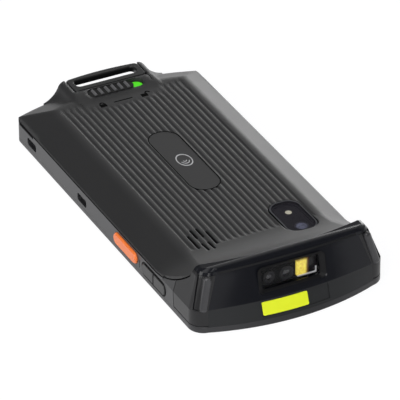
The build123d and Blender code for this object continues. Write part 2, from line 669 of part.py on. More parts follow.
# ---------------------------------------------------------------- frame
def key_outline(key, gap):
    """Pill outline of a side key in the wall plane, grown by gap; one end can be square."""
    length, height = key["length"] + 2 * gap, key["height"] + 2 * gap
    outline = SlotOverall(length, height)
    if key["square_end"]:
        outline += Pos(key["square_end"] * length / 4, 0) * Rectangle(length / 2, height)
    return outline


def along_wall(sketch, y, z, x, depth, side):
    """Extrude a sketch in the wall plane outwards from the centre, on side -1 or +1."""
    plane = Plane(origin=(side * x, y, z), x_dir=(0, 1, 0), z_dir=(side, 0, 0))
    return extrude(plane * sketch, amount=depth)


def cap_region(grow=0.0):
    """Space of the front cap: the facets between their slanting ends, and the rim band."""
    low = FLOOR_PLAN["edge"][0] + grow
    mid = CREASE_PLAN["edge"][0] + grow
    top = RIM_PLAN["edge"][0] + grow
    rim = BODY_HALF_W
    wedge = prism_xz([(-low, 0), (-mid, CREASE_Z), (-top, HEAD_TOP_Z), (top, HEAD_TOP_Z), (mid, CREASE_Z), (low, 0)],
                     -BIG, CAP_REAR_Y)
    return wedge + slab(-rim, rim, -BIG, CAP_REAR_Y, RIM_BAND_Z - grow, HEAD_TOP_Z + 2)


def head_roof():
    """Limit of the head pieces: rim band that rises from the cover and rounds over to the facet."""
    x = -BODY_HALF_W - 6
    band_z = RAMP_TOP_Z + 0.1
    far = BODY_FAR_Y + 10
    near = -BIG
    rise = (RIM_LINE_Y + 0.6, band_z)
    crown = (RIM_PLAN["nose_y"] + 1.6 * RIM_ROUND, HEAD_TOP_Z)
    brow = (RIM_PLAN["nose_y"] - 0.2, HEAD_TOP_Z - 1.1 * RIM_ROUND)
    edges = [
        Edge.make_line((x, far, 0), (x, far, band_z)),
        Edge.make_line((x, far, band_z), (x, *rise)),
        Edge.make_three_point_arc((x, *rise), (x, rise[0] - 1.0, HEAD_TOP_Z - 0.25), (x, *crown)),
        Edge.make_three_point_arc((x, *crown), (x, RIM_PLAN["nose_y"] + 0.55 * RIM_ROUND, HEAD_TOP_Z - 0.22 * RIM_ROUND),
                                  (x, *brow)),
        Edge.make_line((x, *brow), (x, near, HEAD_TOP_Z - 5)),
        Edge.make_line((x, near, HEAD_TOP_Z - 5), (x, near, 0)),
        Edge.make_line((x, near, 0), (x, far, 0)),
    ]
    return extrude(profile_face(edges), amount=-2 * x, dir=(1, 0, 0))


def bumper_region(grow=0.0):
    """Corner of the head that a bumper covers, before the cap is taken out."""
    top = BUMPER_TOP_Z + 3 * grow
    bottom = BUMPER_BOTTOM_Z - grow
    slant = prism_yz([(BUMPER_START_Y + grow, top), (BUMPER_START_Y - 1.5 + grow, bottom),
                      (-BIG, bottom), (-BIG, top)], -BIG, BIG)
    return slant - cap_region(-grow)


def cover_space():
    """Space that belongs to the rear cover, kept clear by the frame and the head."""
    return seam_region() & behind_rim()


def mid_frame():
    """Structural frame: side walls, web, battery bay, head walls and key apertures."""
    above_bezel = slab(-BIG, BIG, -BIG, BIG, BEZEL_H, BIG)
    outer = (body_envelope() + head_envelope()) & above_bezel & head_roof()
    frame = outer - cover_space()
    frame -= (head_envelope() - head_envelope(BUMPER_T)) & bumper_region(BUMPER_GROOVE)
    frame -= cap_region(FIT)

    # head room, board bay, battery bay, far bay
    frame -= head_envelope(BUMPER_T + 1.4) & slab(-BIG, BIG, -BIG, HEAD_BACK_Y - 4, WEB_Z[1], BIG)
    frame -= slab(-BAY_HALF_W, BAY_HALF_W, BOARD_Y0 - 1.5, BOARD_Y1 + 0.9, WEB_Z[1], BIG)
    frame -= slab(-BATTERY_HALF_W - 1.0, BATTERY_HALF_W + 1.0, BATTERY_Y0 - 2.4, BATTERY_Y1 + 0.6, WEB_Z[1], BIG)
    far_bay = slab(-BAY_HALF_W, BAY_HALF_W, BATTERY_Y1 + 2.0, BODY_FAR_Y, WEB_Z[1], BIG)
    far_bay -= slab(-PORT_BLOCK_HALF, PORT_BLOCK_HALF, PORT_BLOCK_Y, BODY_FAR_Y, 0, BIG)
    frame -= far_bay & body_envelope(WALL + 0.4)

    frame -= slab(-CARRIER_HALF_W - FIT, CARRIER_HALF_W + FIT, CARRIER_Y0 - 2.5, SEAM_RISE_Y + 1, SEAM_Z, BIG)

    # display pocket below the web
    frame -= slab(-DISPLAY_HALF_W - 0.4, DISPLAY_HALF_W + 0.4, GLASS_Y0 + 1.5, DISPLAY_Y1 + 1.0, 0, WEB_Z[0])

    # contact gap in the bay divider and board posts
    frame -= slab(-9, 9, BOARD_Y1 + 0.5, BATTERY_Y0 - 2, WEB_Z[1], 40)
    for x in (-27.0, 27.0):
        for y in (BOARD_Y0 + 3.5, BOARD_Y1 - 3.5):
            frame += Pos(x, y, WEB_Z[1]) * Cylinder(1.6, BOARD_Z0 - WEB_Z[1],
                                                    align=(Align.CENTER, Align.CENTER, Align.MIN))

    # key channels, open below
    channel = slab(*CHANNEL_X, *CHANNEL_Y, *CHANNEL_Z)
    under = slab(CHANNEL_X[0], CHANNEL_X[1] - 0.8, *CHANNEL_Y, 0, CHANNEL_Z[0])
    for side in both_sides(channel) + both_sides(under):
        frame -= side
    for key in (SCAN_KEY, VOLUME_UP, VOLUME_DOWN):
        frame -= along_wall(key_outline(key, KEY_GAP), key["y"], key["z"], CHANNEL_X[1] - 1, WALL + 4, -1)
    for key in (SCAN_KEY, POWER_KEY):
        frame -= along_wall(key_outline(key, KEY_GAP), key["y"], key["z"], CHANNEL_X[1] - 1, WALL + 4, 1)

    # notches, thumbnail gap, fine grooves, connector opening
    for y in NOTCH_YS:
        for side in (-1, 1):
            frame -= along_wall(RectangleRounded(NOTCH_L, NOTCH_H, 0.9), y, NOTCH_Z,
                                BODY_HALF_W - NOTCH_DEPTH, NOTCH_DEPTH + 2, side)
    frame -= slab(-BODY_HALF_W - 1, -BODY_HALF_W + 1.2, 60.0, 72.4, SEAM_Z - 0.9, SEAM_Z + 1)
    frame -= slab(-BODY_HALF_W - 1, -BODY_HALF_W + 0.4, -31.4, -31.0, 3.4, 6.6)
    frame -= extrude(port_plane(-PORT_L - 0.3) * RectangleRounded(PORT_W + 2 * FIT, PORT_H + 2 * FIT, 1.5), amount=9)
    frame -= slab(-PORT_TAIL_HALF - 0.3, PORT_TAIL_HALF + 0.3, PORT_BLOCK_Y - 1, BODY_FAR_Y - PORT_L + 0.7,
                  WEB_Z[1], WEB_Z[1] + 1.0)

    # latch keeper, open at the top
    keeper = slab(*KEEPER_X, LATCH_MID_Y - KEEPER_HALF, LATCH_MID_Y + KEEPER_HALF, WEB_Z[1], KEEPER_Z)
    keeper -= slab(KEEPER_X[0] + 1.2, KEEPER_X[1] + 1, LATCH_MID_Y - KEEPER_HALF + 1.4,
                   LATCH_MID_Y + KEEPER_HALF - 1.4, KEEPER_Z - 2.0, KEEPER_Z + 1)
    frame += keeper

    # screw seats
    for x in (-SCREW_X, SCREW_X):
        for y in SCREW_YS:
            frame -= Pos(x, y, SEAM_Z - SCREW_SINK) * extrude(RegularPolygon(SCREW_HEAD_R + FIT, 12), 4)
            frame -= Pos(x, y, 0) * extrude(RegularPolygon(SCREW_R + FIT, 8), SEAM_Z)
    return frame


def bezel_outline(z, plan, inset):
    """Whole display-side outline at height z."""
    half = plan["side"] - inset
    edge = (plan["edge"][0] - 0.4 * inset, plan["edge"][1] + 0.95 * inset)
    corner = (plan["corner"][0] - 0.85 * inset, plan["corner"][1] + 0.6 * inset)
    near_y = plan["turn_y"] + 0.4 * inset
    nose_y = plan["nose_y"] + inset
    far_edges, far_y = far_outline(half, inset, z)
    return profile_face([
        Edge.make_line((half, far_y, z), (half, near_y, z)),
        Edge.make_three_point_arc((half, near_y, z), (*corner, z), (*edge, z)),
        Edge.make_three_point_arc((*edge, z), (0, nose_y, z), (-edge[0], edge[1], z)),
        Edge.make_three_point_arc((-edge[0], edge[1], z), (-corner[0], corner[1], z), (-half, near_y, z)),
        Edge.make_line((-half, near_y, z), (-half, far_y, z)),
        *far_edges[::-1],
    ])


def plan_between(z):
    """Head plan between the floor and the crease."""
    share = z / CREASE_Z

    def mix(low, high):
        if isinstance(low, tuple):
            return tuple(mix(a, b) for a, b in zip(low, high))
        return low + (high - low) * share

    return {key: mix(FLOOR_PLAN[key], CREASE_PLAN[key]) for key in FLOOR_PLAN}


def front_bezel():
    """Display-side frame with a rounded-under edge and a ledge for the glass."""
    levels = [(0, 0.4), (0.15, 0.14), (0.4, 0), (BEZEL_H, 0)]
    bezel = loft([bezel_outline(z, plan_between(z), inset) for z, inset in levels], ruled=True)
    glass_y = (GLASS_Y0 + GLASS_Y1) / 2
    glass_l = GLASS_Y1 - GLASS_Y0
    bezel -= rounded_slab(0, glass_y, 2 * GLASS_HALF_W + 2 * FIT, glass_l + 2 * FIT, GLASS_R, -1, GLASS_T)
    bezel -= slab(-DISPLAY_HALF_W - 0.4, DISPLAY_HALF_W + 0.4, GLASS_Y0 + 1.5, DISPLAY_Y1 + 1.0, -1, BEZEL_H + 1)
    for x in (-SCREW_X, SCREW_X):
        for y in SCREW_YS:
            bezel -= Pos(x, y, GLASS_T) * extrude(RegularPolygon(SCREW_R + FIT, 8), 4)
    return bezel


def touch_glass():
    """Cover glass, flush with the bezel: the face that the terminal rests on."""
    glass_y = (GLASS_Y0 + GLASS_Y1) / 2
    return rounded_slab(0, glass_y, 2 * GLASS_HALF_W, GLASS_Y1 - GLASS_Y0, GLASS_R, 0, GLASS_T)


def display_panel():
    """Display module bonded behind the glass."""
    return slab(-DISPLAY_HALF_W, DISPLAY_HALF_W, DISPLAY_Y0, DISPLAY_Y1, GLASS_T, GLASS_T + DISPLAY_T)


# ---------------------------------------------------------------- keys
def side_key(key, side):
    """Pill-shaped key with its inner flange and plunger."""
    outer_x = BODY_HALF_W + key["proud"]
    wall_in = CHANNEL_X[1] - FIT
    cap = along_wall(key_outline(key, 0), key["y"], key["z"], wall_in - 0.2, outer_x - wall_in + 0.2, side)
    outer_edges = cap.faces().sort_by(Axis.X)[0 if side < 0 else -1].edges()
    cap = chamfer(outer_edges, KEY_EDGE * key["proud"])
    half = key["height"] / 2
    lip = min(KEY_FLANGE_LIP, CHANNEL_Z[1] - key["z"] - half - 0.1, key["z"] - half - CHANNEL_Z[0] - 0.1)
    flange = Rectangle(key["length"] + 2 * key["end_lip"], key["height"] + 2 * lip)
    plate = along_wall(flange, key["y"], key["z"], wall_in - KEY_FLANGE_T, KEY_FLANGE_T, side)
    plunger = along_wall(Circle(1.0), key["y"], key["z"], wall_in - KEY_FLANGE_T - 0.7, 0.8, side)
    return cap + plate + plunger


def side_flex(keys, side):
    """Flex strip on the channel's inner wall with one dome switch for each key."""
    x_in = CHANNEL_X[0]
    strip = along_wall(Rectangle(46, 4.2), -31.0, 5.3, x_in, 0.4, side)
    for key in keys:
        strip += along_wall(Circle(1.7), key["y"], key["z"], x_in + 0.3, 0.8, side)
    return strip


# ---------------------------------------------------------------- scan head
def window_plane(offset=0.0):
    """Plane of the scan window, leaning back, moved along its outward normal."""
    tilt = math.radians(WINDOW_TILT)
    normal = Vector(0, -math.cos(tilt), math.sin(tilt))
    origin = Vector(*WINDOW_CENTRE) + normal * offset
    return Plane(origin=origin, x_dir=(1, 0, 0), z_dir=normal)


def scanner_cap():
    """Glossy front cap: bowed chin, leaning facet, dished scan recess and rim band."""
    shell = head_envelope() - head_envelope(CAP_T) + (
        head_envelope() & slab(-BIG, BIG, -BIG, CAP_REAR_Y, HEAD_TOP_Z - CAP_T, BIG))
    backing_half = WINDOW_W / 2 + 5.8
    backing = head_envelope() & slab(-backing_half, backing_half, -BIG, WINDOW_CENTRE[1] + 1.55,
                                     CREASE_Z + 0.4, HEAD_TOP_Z - CAP_T)
    cap = (shell + backing) & cap_region() & slab(-BIG, BIG, -BIG, CAP_REAR_Y, BEZEL_H, BIG) & head_roof()
    cap -= cover_space()
    cap -= slab(-BIG, BIG, RIM_LINE_Y - 0.5, BIG, 0, RIM_BAND_Z)

    inner = window_plane(0) * RectangleRounded(WINDOW_W + 0.6, WINDOW_H + 0.6, 1.2)
    slope = window_plane(1.0) * (Pos(0, 0.1) * RectangleRounded(WINDOW_W + 3.6, WINDOW_H + 2.2, 2.0))
    outer = window_plane(3.0) * (Pos(0, 0.55) * RectangleRounded(WINDOW_W + 11.8, WINDOW_H + 7.5, 4.0))
    cap -= loft([inner.faces()[0], slope.faces()[0], outer.faces()[0]], ruled=True)
    cap -= extrude(window_plane(3) * RectangleRounded(WINDOW_W, WINDOW_H, 1.0), amount=-9)
    seat = RectangleRounded(WINDOW_W + 2 * WINDOW_LIP + 2 * FIT, WINDOW_H + 2 * WINDOW_LIP + 2 * FIT, 1.4)
    cap -= extrude(window_plane(-0.35) * seat, amount=-8)

    label = (head_lower() - head_lower(PLATE_DEPTH)) & slab(*PLATE_X, -BIG, CAP_REAR_Y, *PLATE_Z)
    return cap - label


def scan_window():
    """Pane seated behind the recess."""
    pane = RectangleRounded(WINDOW_W + 2 * WINDOW_LIP, WINDOW_H + 2 * WINDOW_LIP, 1.3)
    return extrude(window_plane(-0.35) * pane, amount=-WINDOW_T)


def label_plate():
    """Blank yellow sticker in the recess of the chin."""
    layer = head_lower(PLATE_DEPTH - LABEL_T) - head_lower(PLATE_DEPTH)
    outline = RectangleRounded(LABEL_X[1] - LABEL_X[0], LABEL_Z[1] - LABEL_Z[0], LABEL_R)
    plane = Plane(origin=(sum(LABEL_X) / 2, -BIG, sum(LABEL_Z) / 2), x_dir=(1, 0, 0), z_dir=(0, 1, 0))
    return layer & extrude(plane * outline, amount=BIG + CAP_REAR_Y)


def outward(p0, p1):
    """Unit normal of a plan line of the right corner, away from the head."""
    along = (p1[0] - p0[0], p1[1] - p0[1])
    length = math.hypot(*along)
    return along[1] / length, -along[0] / length


def leaning_strip(foot, head, depth, proud):
    """Leaning bar over a strip of the corner, between plan lines at its foot and its head."""
    faces = []
    for (p0, p1), z in ((foot, RIB_FOOT_Z), (head, RIB_TIP_Z)):
        nx, ny = outward(p0, p1)
        plan = [(p0[0] + nx * proud, p0[1] + ny * proud), (p1[0] + nx * proud, p1[1] + ny * proud),
                (p1[0] - nx * depth, p1[1] - ny * depth), (p0[0] - nx * depth, p0[1] - ny * depth)]
        faces.append(Face(Wire.make_polygon([(x, y, z) for x, y in plan], close=True)))
    return loft(faces, ruled=True)


def bumper_rib():
    """Rounded upright rib that narrows to its tip."""
    faces = []
    levels = ((RIB_FOOT, RIB_FOOT_Z, RIB_PROUD), (RIB_HEAD, RIB_HEAD_Z, RIB_PROUD), (RIB_TIP, RIB_TIP_Z, 0.1))
    for (p0, p1), z, proud in levels:
        nx, ny = outward(p0, p1)
        middle = ((p0[0] + p1[0]) / 2 + nx * proud, (p0[1] + p1[1]) / 2 + ny * proud)
        back = [(p1[0] - nx * 1.2, p1[1] - ny * 1.2), (p0[0] - nx * 1.2, p0[1] - ny * 1.2)]
        faces.append(profile_face([
            Edge.make_three_point_arc((*p0, z), (*middle, z), (*p1, z)),
            Edge.make_line((*p1, z), (*back[0], z)),
            Edge.make_line((*back[0], z), (*back[1], z)),
            Edge.make_line((*back[1], z), (*p0, z)),
        ]))
    return loft(faces, ruled=True)


def bumper(side):
    """Corner bumper with its upright rib and the recessed strip beside it."""
    skin = head_envelope() - head_envelope(BUMPER_T)
    corner = skin & bumper_region() & head_roof() & slab(1, BIG, -BIG, 0, BEZEL_H, BIG)
    corner -= cover_space()
    corner -= (head_envelope() - head_envelope(STRIP_DEPTH)) & leaning_strip(STRIP_FOOT, STRIP_HEAD, 3.0, 3.0)
    corner += bumper_rib() - head_envelope(BUMPER_T)
    return corner if side > 0 else mirror(corner, about=Plane.YZ)


def scan_engine():
    """Chassis of the imager."""
    body = slab(-11.0, 12.6, ENGINE_FRONT_Y, -65.0, 10.2, 17.9)
    return body - slab(3.6, 12.1, ENGINE_FRONT_Y - 1, ENGINE_FRONT_Y + 1.0, 11.3, 20.0)


def engine_bracket():
    """Stand that carries the imager on the frame's web."""
    bracket = slab(-11.5, 13.1, -70.5, -62.0, WEB_Z[1], WEB_Z[1] + 1.2)
    for x0 in (-11.5, 11.1):
        bracket += slab(x0, x0 + 2.0, -70.5, -62.0, WEB_Z[1], 10.2)
    return bracket


def round_lens(x, z, radius):
    """Short lens barrel along Y with a bevelled front."""
    barrel = Pos(x, ENGINE_FRONT_Y, z) * Rot(90, 0, 0) * Cylinder(
        radius, ENGINE_FRONT_Y - LENS_FRONT_Y, align=(Align.CENTER, Align.CENTER, Align.MIN))
    front = barrel.faces().sort_by(Axis.Y)[0].edges()
    return chamfer(front, 0.35)


# ---------------------------------------------------------------- inside
def battery_pack():
    """Removable pack in the battery bay."""
    length = BATTERY_Y1 - BATTERY_Y0
    cy = (BATTERY_Y0 + BATTERY_Y1) / 2
    return rounded_slab(0, cy, 2 * BATTERY_HALF_W, length, 2.5, WEB_Z[1], BATTERY_Z1)


def antenna_carrier():
    """Plate over the board that carries the camera trim and the speaker."""
    return slab(-CARRIER_HALF_W, CARRIER_HALF_W, CARRIER_Y0, BOARD_Y1, SEAM_Z, SEAM_Z + CARRIER_T)


def camera_trim():
    """Rounded tower that fills the cover's cut-out and holds the camera glass."""
    z0 = SEAM_Z + CARRIER_T
    tower = Pos(CAM_X, CAM_Y, z0) * extrude(camera_outline(-CAM_GAP), CAM_TOP_Z - z0)
    tower -= Pos(CAM_X, CAM_Y, z0 - 1) * extrude(camera_outline(-CAM_GAP - 1.0), 12)
    return tower - Pos(CAM_X, CAM_Y, CAM_TOP_Z - 1.1) * extrude(camera_outline(-CAM_GAP - 0.5), 4)


def camera_glass():
    """Dark glass over the lens and the flash."""
    z1 = CAM_TOP_Z - 0.15
    return Pos(CAM_X, CAM_Y, CAM_TOP_Z - 1.1) * extrude(camera_outline(-CAM_GAP - 0.6), z1 - CAM_TOP_Z + 1.1)


def camera_module():
    """Camera block with its lens barrel."""
    z0 = SEAM_Z + CARRIER_T
    block = slab(CAM_X - 3.9, CAM_X + 3.9, LENS_Y - 1.4, LENS_Y + 4.8, z0, z0 + 2.4)
    barrel = Pos(CAM_X, LENS_Y, z0) * Cylinder(2.4, 4.4, align=(Align.CENTER, Align.CENTER, Align.MIN))
    return block + barrel


def flash_led():
    """Flash with its light guide under the glass."""
    z0 = SEAM_Z + CARRIER_T
    return Pos(CAM_X, FLASH_Y, z0) * Cylinder(1.3, 4.4, align=(Align.CENTER, Align.CENTER, Align.MIN))


def speaker_module():
    """Speaker box under the slots."""
    z0 = SEAM_Z + CARRIER_T
    box = rounded_slab(-18.75, -42.0, 14.0, 19.0, 1.5, z0, z0 + 3.2)
    return box - rounded_slab(-18.75, -42.0, 11.0, 16.0, 1.0, z0 + 2.6, z0 + 5)


def port_plane(offset):
    """Plane of the connector's mouth, moved along +Y by offset."""
    return Plane(origin=(0, BODY_FAR_Y + offset, PORT_Z), x_dir=(-1, 0, 0), z_dir=(0, 1, 0))


def usb_port():
    """Connector shell in the far wall, with its flex tail."""
    front = -PORT_INSET
    shell = extrude(port_plane(-PORT_L) * RectangleRounded(PORT_W, PORT_H, 1.4), amount=PORT_L + front)
    shell -= extrude(port_plane(-PORT_L + 1.2) * RectangleRounded(PORT_W - 0.6, PORT_H - 0.6, 1.1), amount=PORT_L)
    y0, y1 = BODY_FAR_Y - PORT_L, BODY_FAR_Y + front
    tongue = slab(-3.3, 3.3, y0 + 1.1, y1 - 1.2, PORT_Z - 0.35, PORT_Z + 0.35)
    tail = slab(-PORT_TAIL_HALF, PORT_TAIL_HALF, PORT_BLOCK_Y - 2, y0 + 0.5, WEB_Z[1], WEB_Z[1] + 0.4)
    return shell + tongue + tail


def frame_screws():
    """Screws that clamp the frame to the bezel."""
    screws = []
    seat_z = SEAM_Z - SCREW_SINK
    tip_z = GLASS_T + FIT
    for x in (-SCREW_X, SCREW_X):
        for y in SCREW_YS:
            head = Pos(x, y, seat_z) * extrude(RegularPolygon(SCREW_HEAD_R, 12), SCREW_SINK - 0.2)
            shank = Pos(x, y, tip_z) * extrude(RegularPolygon(SCREW_R, 8), seat_z - tip_z + FIT)
            screws.append(head + shank)
    return Compound(children=screws)


# ---------------------------------------------------------------- write the nodes
write("rear_cover", rear_cover())
write("label_inlay", label_inlay())
write("nfc_antenna", nfc_antenna())
write("bay_seal", bay_seal())
write("latch_slider", latch_slider())
write("latch_bolt", latch_bolt())
write("latch_spring", latch_spring())
write("latch_indicator", latch_indicator())
write("strap_bar", strap_bar())
write("mid_frame", mid_frame())
write("front_bezel", front_bezel())
write("touch_glass", touch_glass())
write("display_panel", display_panel())
write("scan_key_left", side_key(SCAN_KEY, -1))
write("volume_up_key", side_key(VOLUME_UP, -1))
write("volume_down_key", side_key(VOLUME_DOWN, -1))
write("scan_key_right", side_key(SCAN_KEY, 1))
write("power_key", side_key(POWER_KEY, 1))
write("side_key_flex_left", side_flex((SCAN_KEY, VOLUME_UP, VOLUME_DOWN), -1))
write("side_key_flex_right", side_flex((SCAN_KEY, POWER_KEY), 1))
write("scanner_cap", scanner_cap())
write("scan_window", scan_window())
write("label_plate", label_plate())
write("bumper_left", bumper(-1))
write("bumper_right", bumper(1))
write("scan_engine", scan_engine())
write("engine_bracket", engine_bracket())
write("imager_lens", round_lens(-0.6, 13.9, 2.3))
write("aimer_lens", round_lens(-7.7, 14.1, 1.9))
write("illuminator", slab(3.7, 8.5, LENS_FRONT_Y, ENGINE_FRONT_Y + 1.0, 11.4, 17.8))
write("illuminator_lens", slab(8.7, 12.0, LENS_FRONT_Y, ENGINE_FRONT_Y + 1.0, 11.4, 17.8))
write("battery_pack", battery_pack())
write("battery_contacts", slab(-8.0, 8.0, BATTERY_Y0 - 2.3, BATTERY_Y0, WEB_Z[1], 8.2))
write("main_board", slab(-BOARD_HALF_W, BOARD_HALF_W, BOARD_Y0, BOARD_Y1, BOARD_Z0, BOARD_Z0 + BOARD_T))
write("shield_cans", Compound(children=[slab(-25, -3, -50, -28, BOARD_Z0 + BOARD_T, 8.6),
                                        slab(1, 23, -50, -28, BOARD_Z0 + BOARD_T, 8.4)]))
write("antenna_carrier", antenna_carrier())
write("camera_trim", camera_trim())
write("camera_glass", camera_glass())
write("camera_module", camera_module())
write("flash_led", flash_led())
write("speaker_module", speaker_module())
write("vibration_motor", Pos(-22, 67.5, WEB_Z[1]) * Cylinder(4.0, 3.0, align=(Align.CENTER, Align.CENTER, Align.MIN)))
write("earpiece", rounded_slab(0, -65.5, 14, 4, 1.0, GLASS_T, GLASS_T + 2.0))
write("front_camera", Pos(18, -65.5, GLASS_T) * Cylinder(2.6, 2.2, align=(Align.CENTER, Align.CENTER, Align.MIN)))
write("usb_port", usb_port())
write("frame_screws", frame_screws())
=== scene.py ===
"""Looks of a rugged handheld data terminal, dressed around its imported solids."""

from __future__ import annotations

import functools
import logging
import math
from dataclasses import dataclass
from enum import Enum

import bmesh
import bpy
from mathutils import Matrix, Vector

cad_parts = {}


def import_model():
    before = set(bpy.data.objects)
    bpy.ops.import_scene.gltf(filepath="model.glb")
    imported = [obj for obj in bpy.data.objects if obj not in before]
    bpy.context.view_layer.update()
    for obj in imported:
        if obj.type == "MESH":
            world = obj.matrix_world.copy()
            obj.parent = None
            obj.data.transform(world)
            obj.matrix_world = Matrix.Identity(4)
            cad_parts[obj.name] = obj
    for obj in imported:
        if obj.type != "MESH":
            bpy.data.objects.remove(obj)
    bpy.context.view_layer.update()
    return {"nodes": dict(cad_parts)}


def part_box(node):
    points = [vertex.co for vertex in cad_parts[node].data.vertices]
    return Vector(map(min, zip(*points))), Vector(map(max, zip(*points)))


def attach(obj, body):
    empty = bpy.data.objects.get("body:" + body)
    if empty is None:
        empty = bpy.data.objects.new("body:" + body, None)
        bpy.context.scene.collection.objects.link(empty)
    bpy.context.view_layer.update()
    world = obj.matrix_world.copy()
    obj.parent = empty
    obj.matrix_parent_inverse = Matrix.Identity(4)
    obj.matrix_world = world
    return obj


LOG = logging.getLogger("terminal")
MM = 0.001
Pair = tuple[float, float]
Point = tuple[float, float, float]
Bound = tuple[float | None, float | None, float | None]
Loop = tuple[float, float, float, float]        # width, height, corner radius and lift

COVER_TOP = 15.7        # flat of the rear cover, above the glass face, in mm
CREASE_Z = 9.0          # crease between the head's polished face and its chin, level with the cover's seam
FACING_FRONT = Matrix.Rotation(math.radians(90), 4, "X")      # turns a lathe's axis from +Z to -Y
WHITE = "#ffffff"
COAT_ROUGHNESS = 0.08   # of every clear polish
POLISH_SWING = 0.1      # share by which roughness wanders
CLOUD_STOPS = (0.3, 0.7)        # noise levels at which a wandering colour is darkest and lightest
DOME_STEPS = 8          # from rim to pole of a lens
MIX_FACTOR, MIX_A, MIX_B, MIX_RESULT = 0, 6, 7, 2       # sockets of a Mix node that mixes colours


# ------------------------ colour and nodes
def srgb(code: str) -> tuple[float, float, float, float]:
    """Turn an sRGB hex colour into a linear one.

    Args:
        code: Six hex digits after a hash.

    Returns:
        Linear red, green and blue, and full opacity.
    """
    channels = [int(code[i:i + 2], 16) / 255 for i in (1, 3, 5)]
    linear = [c / 12.92 if c <= 0.04045 else ((c + 0.055) / 1.055) ** 2.4 for c in channels]
    return (*linear, 1.0)


def add_node(tree: bpy.types.NodeTree, kind: str, links: dict | None = None, **settings) -> bpy.types.Node:
    """Add one shader node with its settings and its incoming links.

    Args:
        tree: Node tree that gets the node.
        kind: Blender's node type name.
        links: Output sockets to join, by input name or index of the new node.
        settings: Values of inputs (by name, spaces as underscores) or node properties.

    Returns:
        The new node.
    """
    node = tree.nodes.new(kind)
    for key, value in settings.items():
        socket = key.replace("_", " ")
        if socket in node.inputs:
            node.inputs[socket].default_value = value
        else:
            setattr(node, key, value)
    for key, source in (links or {}).items():
        tree.links.new(source, node.inputs[key])
    return node


# ------------------------ finishes
class Coat(Enum):
    """How much clear polish lies over a surface."""

    NONE = 0.0
    THIN = 0.3
    FULL = 1.0


@dataclass(frozen=True)
class Region:
    """A box-shaped part of a surface.

    Attributes:
        low: Lowest corner in mm; None leaves that side open.
        high: Highest corner in mm; None leaves that side open.
        blend_mm: Width of the change at each side.
    """

    low: Bound = (None, None, None)
    high: Bound = (None, None, None)
    blend_mm: float = 0.2

    def mask(self, tree: bpy.types.NodeTree, place: bpy.types.Node) -> bpy.types.NodeSocket:
        """Build the nodes that give 1 inside the region and 0 outside it.

        Args:
            tree: The material's node tree.
            place: Its texture coordinates.

        Returns:
            The socket that holds the mask.
        """
        axes = add_node(tree, "ShaderNodeSeparateXYZ", {"Vector": place.outputs["Object"]})
        bounds = [(axis, low, 0.5) for axis, low in zip("XYZ", self.low) if low is not None]
        bounds += [(axis, high, -0.5) for axis, high in zip("XYZ", self.high) if high is not None]
        share = None
        for axis, bound, inward in bounds:
            step = add_node(tree, "ShaderNodeMapRange", {"Value": axes.outputs[axis]},
                            interpolation_type="SMOOTHSTEP",
                            From_Min=(bound - inward * self.blend_mm) * MM,
                            From_Max=(bound + inward * self.blend_mm) * MM).outputs["Result"]
            if share is not None:
                step = add_node(tree, "ShaderNodeMath", {0: share, 1: step}, operation="MULTIPLY").outputs[0]
            share = step
        return share


@dataclass(frozen=True)
class Zone:
    """A part of a surface with another colour and polish: its own, or painted shade.

    Attributes:
        colour: sRGB hex inside the region.
        roughness: Roughness inside the region.
        region: Where it lies.
    """

    colour: str
    roughness: float
    region: Region


@dataclass(frozen=True)
class Fillet:
    """A part of a surface whose edges are rounded more than the rest.

    Attributes:
        radius_mm: Radius inside the region.
        region: Where it lies.
    """

    radius_mm: float
    region: Region


